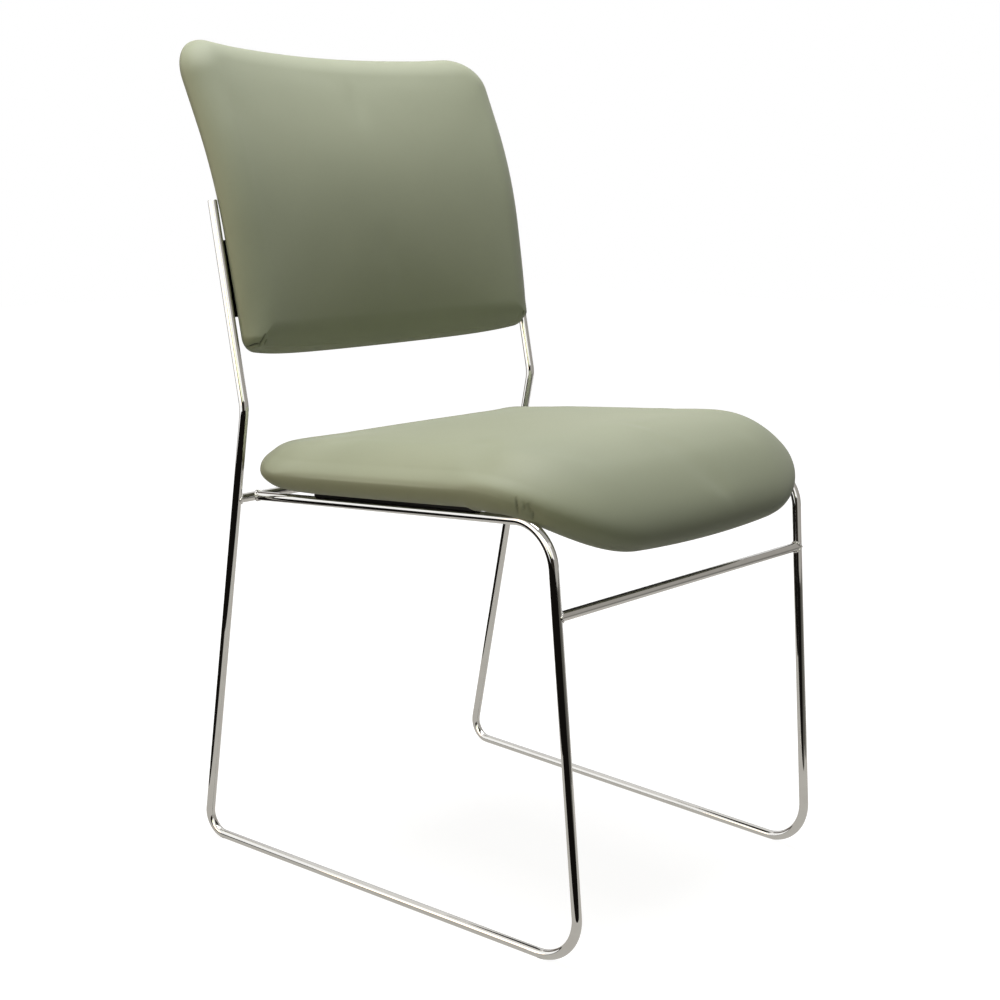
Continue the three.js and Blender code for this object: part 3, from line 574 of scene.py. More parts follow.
def back_surface(x, s, height):
    on_straight = np.minimum(s, BACK_STRAIGHT)
    on_curve = np.clip(s - BACK_STRAIGHT, 0, BACK_CURVE)
    on_top = np.maximum(s - BACK_STRAIGHT - BACK_CURVE, 0)
    curvature = BACK_CURVE_ANGLE / BACK_CURVE
    curve = bend(POST_LEAN, curvature, on_curve)
    lean = POST_LEAN + curvature * on_curve
    up = on_straight * cos(POST_LEAN) + curve[0] + on_top * np.cos(lean)
    rearward = on_straight * sin(POST_LEAN) + curve[1] + on_top * np.sin(lean)
    share = s / BACK_LENGTH
    across = np.abs(x) / BACK_HALF_WIDTH
    draw = np.sign(x) * BACK_SIDE_DRAW * arched(share) * across ** 3
    forward = height - BACK_PLAN_SAG * (1 - across ** 2)
    return np.stack([
        x * (1 + BACK_TAPER_SHARE * (share - 0.5)) - draw,
        BACK_BOTTOM_Y + rearward - forward * np.cos(lean),
        BACK_BOTTOM_HEIGHT + up + forward * np.sin(lean),
    ], axis=-1)


# Plan of a pad: a rectangle with round corners
def corner_r_at(pad, s):
    return np.where(s < pad.length / 2, pad.start_corner_r, pad.end_corner_r)


def half_width_at(pad, s):
    corner_r = corner_r_at(pad, s)
    from_end = np.maximum(np.minimum(s, pad.length - s), 0)
    short = np.maximum(corner_r - from_end, 0)
    return pad.half_width - corner_r + np.sqrt(corner_r ** 2 - short ** 2)


def edge_distance(pad, x, s):
    corner_r = corner_r_at(pad, s)
    from_side = pad.half_width - np.abs(x)
    from_end = np.minimum(s, pad.length - s)
    in_corner = (from_side < corner_r) & (from_end < corner_r)
    round_distance = corner_r - np.hypot(corner_r - from_side, corner_r - from_end)
    return np.where(in_corner, round_distance, np.minimum(from_side, from_end))


def outward(pad, x, s):
    """How far the plan's outline at a place turns to the side and to the end."""
    corner_r = corner_r_at(pad, s)
    past_side = corner_r - (pad.half_width - np.abs(x))
    past_end = corner_r - np.minimum(s, pad.length - s)
    in_corner = (past_side > 0) & (past_end > 0)
    on_side = past_side >= past_end
    reach = np.maximum(np.hypot(past_side, past_end), 1e-9)
    to_side = np.where(in_corner, past_side / reach, on_side)
    to_end = np.where(in_corner, past_end / reach, ~on_side)
    return to_side * np.sign(x), to_end * np.sign(s - pad.length / 2)


def inner_ring(pad, x, s, inset):
    to_side, to_end = outward(pad, x, s)
    return x - to_side * inset, s - to_end * inset


# The seat's soft form: how high its cover stands above the spine surface, how low it hangs under it, and how
# far it is drawn along it. It is thin and sharp at the rear, and full with a wide roll at the front.
SEAT_REAR_REACH = 120 * MM
SEAT_FRONT_REACH = 130 * MM
SEAT_ROLLS = (31 * MM, 56 * MM, 90 * MM)
SEAT_ROLL_POWERS = (0.82, 0.80, 0.29)
NEAR_EDGE = 30 * MM
SEAT_FAR_SHARES = (1 / 5, 13 / 15)
SEAT_FAR_FRONT_LOW = 3.6 * MM
SEAT_FAR_FRONT_OUT = 1.6 * MM
SEAT_REAR_CORNER_LOW = 0.8 * MM
SEAT_REAR_CORNER_REACH = 90 * MM
SEAT_REAR_UNDER_LIFT = 6.5 * MM
SEAT_REAR_DRAWN = 5.4 * MM
SEAT_FRONT_HANG = 1.8 * MM
SEAT_BULGE = 2.0 * MM
SEAT_BULGE_REACH = 14 * MM
BULGE_PEAK = 4 / 27

# The cover hangs beside the rails and past the plates, and rests on the rails in front of the plates. Each
# hang comes and goes over spans that are measured along the seat, from its edge or from its side.
SEAT_HANG = 2.0 * MM
SEAT_HANG_FROM_SIDE = 9 * MM
SEAT_HANG_REAR_SPAN = (30 * MM, 80 * MM)
SEAT_HANG_FRONT_SPAN = (55 * MM, 90 * MM)
SEAT_HANG_PAST_PLATE = 1.8 * MM
PAST_PLATE_STARTS = (-6 * MM, 6 * MM)
PAST_PLATE_ENDS = (50 * MM, 30 * MM)
SEAT_HANG_OVER_RAIL = 4.0 * MM
OVER_RAIL_STARTS = (-4 * MM, 4 * MM)
OVER_RAIL_FROM_EDGE = (0, 6 * MM)
OVER_RAIL_FROM_SIDE = (60 * MM, 45 * MM)


def seat_parts(s):
    """How much a place belongs to the rear, to the middle and to the front."""
    rear = eased(s, SEAT_REAR_REACH, 0)
    front = eased(SEAT_LENGTH - s, SEAT_FRONT_REACH, 0)
    return rear, 1 - rear - front, front


def mixed(values, parts):
    return sum(value * part for value, part in zip(values, parts))


def seat_top(x, s):
    parts = rear, _, front = seat_parts(s)
    share = s / SEAT_LENGTH
    distance = edge_distance(SEAT, x, s)
    dish = limited(1 - (share / SEAT_DISH_PLACE_SHARE - 1) ** 2)
    swell = (SEAT_CROWN * arched(share) - SEAT_DISH * dish) * (1 - (x / SEAT_HALF_WIDTH) ** 2)
    thin_share = SEAT_REAR_THIN_SHARE * limited(1 - share / SEAT_REAR_THIN_REACH_SHARE)
    height = SEAT_TOP_DEPTH * (1 - thin_share) + swell
    height = height * roll_share(distance, mixed(SEAT_ROLLS, parts), mixed(SEAT_ROLL_POWERS, parts))
    far = eased(x / SEAT_HALF_WIDTH, *SEAT_FAR_SHARES)
    corner = limited(1 - (SEAT_HALF_WIDTH - np.abs(x)) / SEAT_REAR_CORNER_REACH)
    low = SEAT_REAR_CORNER_LOW * rear * corner + SEAT_FAR_FRONT_LOW * front * far
    return height - low * roll_share(distance, NEAR_EDGE, 0.7)


def seat_under(x, s):
    rear, _, front = seat_parts(s)
    distance = edge_distance(SEAT, x, s)
    from_side = SEAT_HALF_WIDTH - np.abs(x)
    from_curve = s - SEAT_REAR_CURVE - SEAT_FLAT
    height = -SEAT_UNDER_DEPTH * roll_share(distance, SEAT_UNDER_ROLL, 0.5)
    at_edge = roll_share(distance, NEAR_EDGE, 0.6) * eased(distance, SEAT_BOARD_INSET, 0)
    lift = (SEAT_REAR_UNDER_LIFT * rear - SEAT_FRONT_HANG * front) * at_edge
    along_rail = eased(s, *SEAT_HANG_REAR_SPAN) * eased(SEAT_LENGTH - s, *SEAT_HANG_FRONT_SPAN)
    past_plate = eased(from_curve, *PAST_PLATE_STARTS) * eased(from_curve, *PAST_PLATE_ENDS)
    beside = SEAT_HANG * along_rail + SEAT_HANG_PAST_PLATE * past_plate
    beside = beside * limited(1 - (from_side / SEAT_HANG_FROM_SIDE - 1) ** 2)
    drop = np.maximum(from_curve, 0) ** 2 * SEAT_FRONT_ROLL_ANGLE / SEAT_FRONT_CURVE / 2
    over_rail = eased(from_curve, *OVER_RAIL_STARTS) * eased(distance, *OVER_RAIL_FROM_EDGE)
    over_rail = over_rail * eased(from_side, *OVER_RAIL_FROM_SIDE) * np.maximum(SEAT_HANG_OVER_RAIL - drop, 0)
    return height + lift - np.maximum(beside, over_rail)


def seat_drift(x, s):
    rear, _, front = seat_parts(s)
    return SEAT_FAR_FRONT_OUT * limited(x / SEAT_HALF_WIDTH) ** 2 * front, SEAT_REAR_DRAWN * rear


def seat_bulge(x, s):
    """How far the cover stands out over its edge, away from the front."""
    _, _, front = seat_parts(s)
    share = limited(edge_distance(SEAT, x, s) / SEAT_BULGE_REACH)
    bulge = SEAT_BULGE / BULGE_PEAK * share * (1 - share) ** 2 * (1 - front)
    to_side, to_end = outward(SEAT, x, s)
    return to_side * bulge, to_end * bulge


# The back's soft form. The cover is pulled up and in at the lower corners, and sits a little askew.
BACK_ROLL_POWER = 0.56
BACK_ROLL_POWER_SIDE = 0.07
BACK_SIDE_OUT = 1.5 * MM
BACK_FAR_SIDE_OUT = 2.4 * MM
BACK_FAR_TOP_OUT = 1.2 * MM
BACK_TOP_LIFT = 2.6 * MM
BACK_BOTTOM_DROP = 0.8 * MM
BACK_TOP_CORNER_DROP = 2.7 * MM
BACK_BOTTOM_CORNER_LIFT = 5.4 * MM
BACK_TOP_SKEW = 2.1 * MM
BACK_BOTTOM_SKEW = 0.9 * MM


def back_top(x, s):
    across = x / BACK_HALF_WIDTH
    near_bottom = limited(1 - s / BACK_END_REACH) ** 2
    near_top = limited(1 - (BACK_LENGTH - s) / BACK_END_REACH) ** 2
    swell = BACK_CROWN * (1 - across ** 2) * arched(s / BACK_LENGTH) + BACK_TOP_THICK * near_top
    height = BACK_FRONT_DEPTH + swell - BACK_BOTTOM_THIN * near_bottom * (1 - across ** 4)
    power = BACK_ROLL_POWER + BACK_ROLL_POWER_SIDE * across ** 2
    return height * roll_share(edge_distance(BACK, x, s), BACK_FRONT_ROLL, power)


def back_under(x, s):
    return -BACK_REAR_DEPTH * roll_share(edge_distance(BACK, x, s), BACK_REAR_ROLL, 0.5)


def back_drift(x, s):
    across = x / BACK_HALF_WIDTH
    share = s / BACK_LENGTH
    at_side = np.abs(across) ** 6
    far = limited(across) ** 3
    out = BACK_SIDE_OUT * across ** 3 * arched(share)
    out += (BACK_FAR_SIDE_OUT * arched(share) + BACK_FAR_TOP_OUT * share) * far
    up = BACK_TOP_LIFT * limited(3 * share - 2) * (1 - across ** 2)
    up -= BACK_BOTTOM_DROP * limited(1 - 3 * share) * (1 - at_side)
    up -= BACK_TOP_CORNER_DROP * limited(4 * share - 3) * at_side
    up += BACK_BOTTOM_CORNER_LIFT * limited(1 - 4 * share) * at_side
    up += across * (BACK_BOTTOM_SKEW * limited(1 - 2 * share) - BACK_TOP_SKEW * limited(2 * share - 1))
    return out, up


# Creases of the covers: line, half width and height in millimetres. The photo shows the right side's.
SEAT_CREASES = [
    ([(-206.1, -211.7, 436.5), (-206.9, -213.0, 431.5), (-206.6, -213.4, 427.1), (-204.0, -212.4, 420.0)],
     0.9, -1.6),
    ([(-203.9, -217.8, 432.6), (-203.9, -219.3, 427.5), (-203.0, -219.4, 423.3)], 1.0, -0.7),
    ([(-201.9, -221.8, 431.1), (-201.3, -223.7, 425.0), (-200.1, -223.9, 421.3)], 1.0, -0.6),
    ([(-199.8, -225.7, 424.0), (-198.8, -224.9, 419.4), (-196.7, -223.2, 414.5)], 0.9, -1.3),
    ([(-201.0, -219.0, 429.0), (-198.9, -226.3, 421.4), (-196.9, -226.9, 417.6), (-191.0, -230.0, 411.5)],
     5.0, -1.6),
]
BACK_CREASES = [
    ([(-208.5, 155.0, 541.8), (-206.3, 148.0, 543.2), (-203.8, 144.7, 544.3), (-201.1, 143.3, 544.7),
      (-196.6, 142.6, 545.0)], 0.9, -3.2),
    ([(-207.6, 150.0, 545.0), (-202.8, 143.2, 546.5), (-198.1, 141.5, 547.0)], 2.8, -1.4),
    ([(-198.4, 144.2, 543.4), (-198.1, 140.5, 548.1), (-197.4, 138.9, 551.2), (-195.4, 137.5, 556.2)],
     0.85, -2.8),
    ([(-194.7, 144.8, 543.0), (-194.7, 140.7, 548.8), (-193.0, 138.6, 554.8)], 0.9, 0.9),
    ([(-190.8, 145.4, 542.9), (-191.6, 140.4, 550.0)], 1.0, -1.8),
    ([(-209.0, 158.0, 540.8), (-205.1, 148.1, 541.7), (-202.3, 145.0, 542.7), (-195.1, 144.4, 543.0),
      (-173.1, 150.4, 540.4)], 1.0, 1.1),
    ([(-200.0, 145.0, 542.3), (-173.1, 150.4, 540.3), (-147.4, 157.2, 537.7), (-113.8, 164.3, 535.6),
      (-56.7, 172.5, 533.3)], 1.6, 0.8),
]

# The two pads. Rows and columns of points are finer in some spans, given as two ends and a step, to carry the
# creases; columns are shares of the half width.
SEAT = SimpleNamespace(
    surface=seat_surface,
    top=seat_top,
    under=seat_under,
    drift=seat_drift,
    bulge=seat_bulge,
    half_width=SEAT_HALF_WIDTH,
    length=SEAT_LENGTH,
    start_corner_r=48 * MM,
    end_corner_r=113 * MM,
    graded_roll=45 * MM,
    under_depth=SEAT_UNDER_DEPTH,
    under_roll=SEAT_UNDER_ROLL,
    inset=SEAT_BOARD_INSET,
    cover_t=SEAT_CLOTH_T,
    board_t=12 * MM,
    creases=SEAT_CREASES,
    fine_rows=[(380 * MM, 418 * MM, 0.8 * MM)],
    fine_columns=[],
)
BACK = SimpleNamespace(
    surface=back_surface,
    top=back_top,
    under=back_under,
    drift=back_drift,
    bulge=None,
    half_width=BACK_HALF_WIDTH,
    length=BACK_LENGTH,
    start_corner_r=15.7 * MM,
    end_corner_r=45.5 * MM,
    graded_roll=BACK_FRONT_ROLL,
    under_depth=BACK_REAR_DEPTH,
    under_roll=BACK_REAR_ROLL,
    inset=BACK_BOARD_INSET,
    cover_t=2.4 * MM,
    board_t=10 * MM,
    creases=BACK_CREASES,
    fine_rows=[(1.5 * MM, 19 * MM, 0.45 * MM)],
    fine_columns=[(-0.985, -0.885, 0.0022), (0.885, 0.985, 0.0022)],
)


def cover_points(pad, x, s, height, drift_share=1.0):
    aside, ahead = pad.drift(x, s)
    return pad.surface(x + drift_share * aside, s + drift_share * ahead, height)


def pad_points(pad, x, s, slack=0.0):
    aside, ahead = pad.bulge(x, s) if pad.bulge else (0, 0)
    return cover_points(pad, x + aside, s + ahead, pad.top(x, s) * (1 - slack))


# Places from one edge to the other: close together on the rolls, even between them
def graded(length, roll, roll_steps, step):
    start = roll * (1 - np.cos(np.linspace(0, pi / 2, roll_steps + 1)))
    count = max(round((length - 2 * roll) / step), 1)
    middle = np.linspace(roll, length - roll, count + 1)[1:-1]
    return np.concatenate([start, middle, (length - start)[::-1]])


def finer_near(places, spans):
    for start, end, step in spans:
        places = np.concatenate([places[(places < start) | (places > end)], np.arange(start, end, step)])
    return np.sort(places)


# Rows and columns of a grid over a pad's plan; columns are shares of its half width, from -1 to 1
def pad_places(pad, roll_steps, step):
    rows = graded(pad.length, pad.graded_roll, roll_steps, step)
    columns = graded(2 * pad.half_width, pad.graded_roll, roll_steps, step) / pad.half_width - 1
    return rows, columns


def pad_grid(pad, rows, columns):
    s = np.repeat(rows[:, None], len(columns), axis=1)
    return half_width_at(pad, s) * columns[None, :], s


# Creases: bent lines in space along which a cover is pressed in or stands out, with soft ends
# Narrow creases that are pressed in also get painted shade in the vinyl: full from this depth in millimetres,
# and only below this half width
TUCK_SHADE_FULL_DEPTH = 2.6
TUCK_SHADE_WIDEST = 2.0


def crease_share(points, line, half_width):
    best = np.full(len(points), np.inf)
    fade = np.zeros(len(points))
    line = np.array(line) * MM
    steps = np.linalg.norm(np.diff(line, axis=0), axis=1)
    passed = np.concatenate([[0], np.cumsum(steps)])
    for i, step in enumerate(steps):
        heading = (line[i + 1] - line[i]) / step
        along = np.clip((points - line[i]) @ heading, 0, step)
        distance = np.linalg.norm(points - line[i] - along[:, None] * heading, axis=1)
        share = (passed[i] + along) / passed[-1]
        fade = np.where(distance < best, np.sqrt(limited(4 * share * (1 - share))), fade)
        best = np.minimum(best, distance)
    return fade * np.exp(-(best / (half_width * MM)) ** 2)


def press_creases(mesh, creases):
    """Moves a cover's points along their normals, and stores a mask of painted shade in its narrow,
    pressed-in creases for the vinyl.
    """
    points = np.empty(len(mesh.vertices) * 3)
    normals = np.empty_like(points)
    mesh.vertices.foreach_get("co", points)
    mesh.vertex_normals.foreach_get("vector", normals)
    points, normals = points.reshape(-1, 3), normals.reshape(-1, 3)
    out = np.zeros(len(points))
    # How much painted shade each point gets in the vinyl, from 0 to 1
    depth = np.zeros(len(points))
    for line, half_width, height in creases:
        for side, _ in SIDES:
            share = crease_share(points, [(-side * x, y, z) for x, y, z in line], half_width)
            out += height * MM * share
            if height < 0 and half_width < TUCK_SHADE_WIDEST:
                depth = np.maximum(depth, share * min(-height / TUCK_SHADE_FULL_DEPTH, 1))
    points += normals * out[:, None]
    # The painted shade mask is stored on the mesh for the vinyl
    mesh.attributes.new(TUCK_SHADE_MASK, "FLOAT", "POINT").data.foreach_set("value", depth)
    mesh.vertices.foreach_set("co", points.ravel())
    mesh.update()


# Under a pad: rings from its edge round to the middle of the pocket that holds the board and its cover
POCKET_AIR = 0.6 * MM
POCKET_WALL_ROUND = 1.2 * MM
UNDER_STEPS = 14
POCKET_STEPS = 8


def layers_of(pad):
    """Heights above the spine surface: the cover's two faces and the pocket's ceiling."""
    cover_low = -pad.under_depth
    cover_high = cover_low + pad.cover_t
    return cover_low, cover_high, cover_high + GAP + pad.board_t + POCKET_AIR


def under_rings(pad, x, s):
    """Rings of plan places, heights and drift shares."""
    low, _, ceiling = layers_of(pad)
    wall = pad.inset - GAP
    roll = min(pad.under_roll, wall - POCKET_WALL_ROUND)
    insets = [roll * (1 - cos(pi / 2 * i / UNDER_STEPS)) for i in range(1, UNDER_STEPS + 1)]
    insets.append(wall - POCKET_WALL_ROUND)
    rings = []
    for inset in insets:
        ring_x, ring_s = inner_ring(pad, x, s, inset)
        rings.append((ring_x, ring_s, pad.under(ring_x, ring_s), 1 - inset / wall))
    rounding = (wall - POCKET_WALL_ROUND / 3, low + POCKET_WALL_ROUND / 4)
    for inset, height in (rounding, (wall, low + POCKET_WALL_ROUND), (wall, ceiling)):
        ring_x, ring_s = inner_ring(pad, x, s, inset)
        rings.append((ring_x, ring_s, np.full_like(ring_x, height), 0))
    middle_s = pad.length / 2
    for i in range(1, POCKET_STEPS):
        share = 1 - i / POCKET_STEPS
        place = (ring_x * share, middle_s + (ring_s - middle_s) * share)
        rings.append((*place, np.full_like(ring_x, ceiling), 0))
    return rings


# Points round the edge of a grid, in order
def border_of(grid):
    return np.concatenate([grid[0], grid[1:, -1], grid[-1, -2::-1], grid[-2:0:-1, 0]])


def grid_faces(index):
    quads = np.stack([index[:-1, :-1], index[:-1, 1:], index[1:, 1:], index[1:, :-1]], axis=-1)
    return quads.reshape(-1, 4).tolist()


def pad_mesh(name, pad, x, s, top):
    """Closed mesh of a pad: a grid on top, and rings from its border to the middle underneath."""
    index = np.arange(x.size).reshape(x.shape)
    faces = grid_faces(index)
    points = [top.reshape(-1, 3)]
    ring = border_of(index)
    count = index.size
    for ring_x, ring_s, height, drift_share in under_rings(pad, border_of(x), border_of(s)):
        points.append(cover_points(pad, ring_x, ring_s, height, drift_share))
        following = np.arange(count, count + len(ring))
        faces += band_faces(ring, following)
        ring = following
        count += len(ring)
    points.append(pad.surface(np.zeros(1), np.full(1, pad.length / 2), np.full(1, layers_of(pad)[2])))
    return mesh_of(name, np.concatenate(points), faces + fan_faces(ring, count))


# Matrix that carries values at known places to wanted places along a smooth cubic curve
def smooth_matrix(known, wanted):
    count = len(known)
    gaps = np.diff(known)
    system = np.eye(count)
    slopes = np.zeros((count, count))
    for i in range(1, count - 1):
        before, after = gaps[i - 1], gaps[i]
        system[i, i - 1:i + 2] = (after, 2 * (before + after), before)
        slopes[i, i - 1] = -3 * after / before
        slopes[i, i] = 3 * (after / before - before / after)
        slopes[i, i + 1] = 3 * before / after
    for i, j in ((0, 1), (count - 1, count - 2)):
        slopes[i, i], slopes[i, j] = -1 / (known[j] - known[i]), 1 / (known[j] - known[i])
    slopes = np.linalg.solve(system, slopes)
    place = np.clip(np.searchsorted(known, wanted) - 1, 0, count - 2)
    gap = gaps[place][:, None]
    t = (wanted - known[place])[:, None] / gap
    values = np.eye(count)
    return (
        (1 + 2 * t) * (1 - t) ** 2 * values[place]
        + t ** 2 * (3 - 2 * t) * values[place + 1]
        + t * (1 - t) ** 2 * gap * slopes[place]
        + t ** 2 * (t - 1) * gap * slopes[place + 1]
    )


# Cloth simulation of a pad's cover: it is held round its edge, and air pressure fills it
SIM_ROLL_STEPS = 9
SIM_STEP = 7 * MM
SIM_FRAMES = 20
SIM_SETTINGS = {
    "use_pressure": True,
    "uniform_pressure_force": 4.0,
    "tension_stiffness": 30,
    "compression_stiffness": 30,
    "bending_stiffness": 4,
}
SIM_SLACK_SHARE = 0.05
SIM_CAP = 4 * MM
SIM_FORM_PASSES = 60
SIM_CALM_PASSES = 3


def calmed(grid, passes):
    """A grid of points with each inner one moved towards the middle of its neighbours, a number of times."""
    grid = grid.copy()
    for _ in range(passes):
        around = grid[:-2, 1:-1] + grid[2:, 1:-1] + grid[1:-1, :-2] + grid[1:-1, 2:]
        grid[1:-1, 1:-1] = 0.5 * grid[1:-1, 1:-1] + 0.125 * around
    return grid


def blown_up(pad, name):
    """How far the simulated cover departs from the pad's form: its folds, without its overall swelling."""
    rows, columns = pad_places(pad, SIM_ROLL_STEPS, SIM_STEP)
    x, s = pad_grid(pad, rows, columns)
    slack = pad_points(pad, x, s, SIM_SLACK_SHARE)
    index = np.arange(x.size).reshape(x.shape)
    skin = add_object(name, mesh_of(name, slack.reshape(-1, 3), grid_faces(index)))
    held = skin.vertex_groups.new(name="held")
    held.add(border_of(index).tolist(), 1.0, "REPLACE")
    cloth = skin.modifiers.new("cloth", "CLOTH")
    cloth.settings.vertex_group_mass = held.name
    cloth.settings.effector_weights.gravity = 0
    for setting, value in SIM_SETTINGS.items():
        setattr(cloth.settings, setting, value)
    cloth.point_cache.frame_start = 1
    cloth.point_cache.frame_end = SIM_FRAMES
    for number in range(1, SIM_FRAMES + 1):
        bpy.context.scene.frame_set(number)
    shown = skin.evaluated_get(bpy.context.evaluated_depsgraph_get())
    points = np.empty(x.size * 3)
    shown.data.vertices.foreach_get("co", points)
    bpy.context.scene.frame_set(1)
    bpy.data.objects.remove(skin)
    departure = points.reshape(slack.shape) - pad_points(pad, x, s)
    folds = calmed(departure - calmed(departure, SIM_FORM_PASSES), SIM_CALM_PASSES)
    reach = np.linalg.norm(folds, axis=-1, keepdims=True)
    return rows, columns, folds * SIM_CAP / (SIM_CAP + reach)


# Pads
PAD_ROLL_STEPS = 36
PAD_STEP = 3 * MM


def pad_piece(pad, name, node):
    rows, columns = pad_places(pad, PAD_ROLL_STEPS, PAD_STEP)
    rows = finer_near(rows, pad.fine_rows)
    columns = finer_near(columns, pad.fine_columns)
    x, s = pad_grid(pad, rows, columns)
    top = pad_points(pad, x, s)
    known_rows, known_columns, folds = blown_up(pad, name + "_skin")
    across = smooth_matrix(known_columns, columns)
    along = smooth_matrix(known_rows, rows)
    top += np.einsum("ri,ijk,cj->rck", along, folds, across)
    mesh = pad_mesh(name, pad, x, s, top)
    press_creases(mesh, pad.creases)
    add_piece(name, mesh, VINYL, [node])


def add_pads():
    pad_piece(SEAT, "seat_pad", "seat_cushion")
    pad_piece(BACK, "back_pad", "back_cushion")


# Thin pieces in the pads' pockets, made of rings from their outline to the middle. The rings get rounder
# inward, so that no corner pinches their faces.
OUTLINE_STEP = 4 * MM
OUTLINE_CORNER_STEPS = 16
ROUND_PASSES_PER_M = 1500
MIDDLE_ROUND_PASSES = 8


def outline(pad, inset):
    """Places round a pad's plan at an inset: before each of its four round corners comes a straight line."""
    ends = ((pad.start_corner_r, 0), (pad.end_corner_r, pad.length))
    corners = [(pad.half_width, *ends[0]), (pad.half_width, *ends[1])]
    corners += [(-pad.half_width, *ends[1]), (-pad.half_width, *ends[0])]
    shares = np.arange(OUTLINE_CORNER_STEPS + 1)[:, None] / OUTLINE_CORNER_STEPS
    arcs = []
    for number, (side, radius, end) in enumerate(corners):
        middle = (side - copysign(radius, side), abs(end - radius))
        angles = pi / 2 * (number - 1 + shares)
        arcs.append(middle + radius * np.hstack([np.cos(angles), np.sin(angles)]))
    places = []
    for before, after in zip([arcs[-1], *arcs], arcs):
        run = after[0] - before[-1]
        count = ceil(np.linalg.norm(run) / OUTLINE_STEP)
        places += [before[-1] + np.arange(count)[:, None] / count * run, after[:-1]]
    return inner_ring(pad, *np.concatenate(places).T, inset)


def rounded(x, s, passes):
    for _ in range(passes):
        x = (np.roll(x, 1) + 2 * x + np.roll(x, -1)) / 4
        s = (np.roll(s, 1) + 2 * s + np.roll(s, -1)) / 4
    return x, s


def rounded_outline(pad, inset):
    return rounded(*outline(pad, inset), round(ROUND_PASSES_PER_M * max(inset - pad.inset, 0)))


def middle_rings(pad, inset, height, steps):
    x, s = rounded_outline(pad, inset)
    middle_s = pad.length / 2
    rings = []
    for i in reversed(range(1, steps)):
        x, s = rounded(x, s, MIDDLE_ROUND_PASSES)
        rings.append((x * i / steps, middle_s + (s - middle_s) * i / steps, height))
    return rings


def level(height):
    return lambda x, s: np.full_like(x, height)


def leaf_mesh(name, pad, low_rings, high_rings, middle_steps):
    """Closed thin mesh: rings given as (inset, height function) from the lower middle out and back above."""
    rings = middle_rings(pad, *low_rings[-1], middle_steps)[::-1]
    rings += [(*rounded_outline(pad, inset), height) for inset, height in low_rings[::-1] + high_rings]
    rings += middle_rings(pad, *high_rings[-1], middle_steps)
    middle = np.zeros(1), np.full(1, pad.length / 2)
    rings = [(*middle, rings[0][2]), *rings, (*middle, rings[-1][2])]
    low_middle, *points, high_middle = [pad.surface(x, s, height(x, s)) for x, s, height in rings]
    return closed_mesh(name, points, low_middle, high_middle)


# Dust cloth: one layer in the middle, and a turned-in hem that is stapled to the board
HEM = 15 * MM
HEM_STEP = 0.6 * MM
HEM_EASE = 6 * MM
CLOTH_EDGE_BEND = 0.5 * MM
CLOTH_EDGE_ROUND = 1.2 * MM
CLOTH_LAYER = 0.45 * MM
CLOTH_MIDDLE_STEPS = 24
PUCKER = 0.14 * MM
PUCKER_PITCH = 40 * MM


def cloth_layer(x, s):
    ripple = np.sin(2 * pi * x / PUCKER_PITCH) * np.sin(2 * pi * s / PUCKER_PITCH)
    return -SEAT_UNDER_DEPTH + CLOTH_LAYER + PUCKER * (1 + ripple) / 2


def add_dust_cloth():
    rim = SEAT_BOARD_INSET
    low, high, _ = layers_of(SEAT)
    low_rings = [
        (rim, level(low + SEAT_CLOTH_T / 2)),
        (rim + CLOTH_EDGE_BEND, level(low + SEAT_CLOTH_T / 8)),
        (rim + CLOTH_EDGE_ROUND, level(low)),
        (rim + HEM / 2, level(low)),
        (rim + HEM - HEM_STEP, level(low)),
        (rim + HEM, cloth_layer),
        (rim + HEM + HEM_EASE, cloth_layer),
    ]
    high_rings = [
        (rim + CLOTH_EDGE_BEND, level(high - SEAT_CLOTH_T / 8)),
        (rim + CLOTH_EDGE_ROUND, level(high)),
        (rim + HEM, level(high)),
    ]
    mesh = leaf_mesh("seat_dust_cloth", SEAT, low_rings, high_rings, CLOTH_MIDDLE_STEPS)
    cloth = add_piece("seat_dust_cloth", mesh, DUST_CLOTH, ["seat_base_cloth"])
    staples = add_staples()


# Staples through the hem, where the seat plates leave it free
STAPLE_PITCH = 38 * MM
STAPLE_LENGTH = 10 * MM
STAPLE_R = 0.35 * MM
STAPLE_SIDES = 8
STAPLE_STEPS = 6
STAPLE_FREE_HALF_WIDTH = 150 * MM


def add_staples():
    points, faces = [], []
    count = int(STAPLE_FREE_HALF_WIDTH / STAPLE_PITCH)
    for end_s in (SEAT_BOARD_INSET + HEM / 2, SEAT_LENGTH - SEAT_BOARD_INSET - HEM / 2):
        for number in range(-count, count + 1):
            x = number * STAPLE_PITCH + np.linspace(-0.5, 0.5, STAPLE_STEPS) * STAPLE_LENGTH
            height = np.full_like(x, -SEAT_UNDER_DEPTH - STAPLE_R)
            height[[0, -1]] += 2 * STAPLE_R
            line = [Vector(p) for p in seat_surface(x, np.full_like(x, end_s), height)]
            rings = []
            for before, point, after in zip([line[0], *line], line, [*line[1:], line[-1]]):
                heading = (after - before).normalized()
                rings.append(section_ring(point, heading, Z_AXIS, STAPLE_R, STAPLE_SIDES))
            faces += tube_faces(numbered(rings, len(points)))
            points += [point for ring in rings for point in ring]
    mesh = mesh_of("seat_cloth_staples", points, faces)
    return add_piece("seat_cloth_staples", mesh, ZINC)


# Rear panel of the back: thin, with a rolled edge and a line of sewing
PANEL_ROLL = 3 * MM
PANEL_ROLL_STEPS = 6
PANEL_MIDDLE_STEPS = 30
SEWING_INSET = 8 * MM
SEWING_HALF_WIDTH = 1.6 * MM
SEWING_DEPTH = 0.6 * MM
SEWING_STEPS = 4


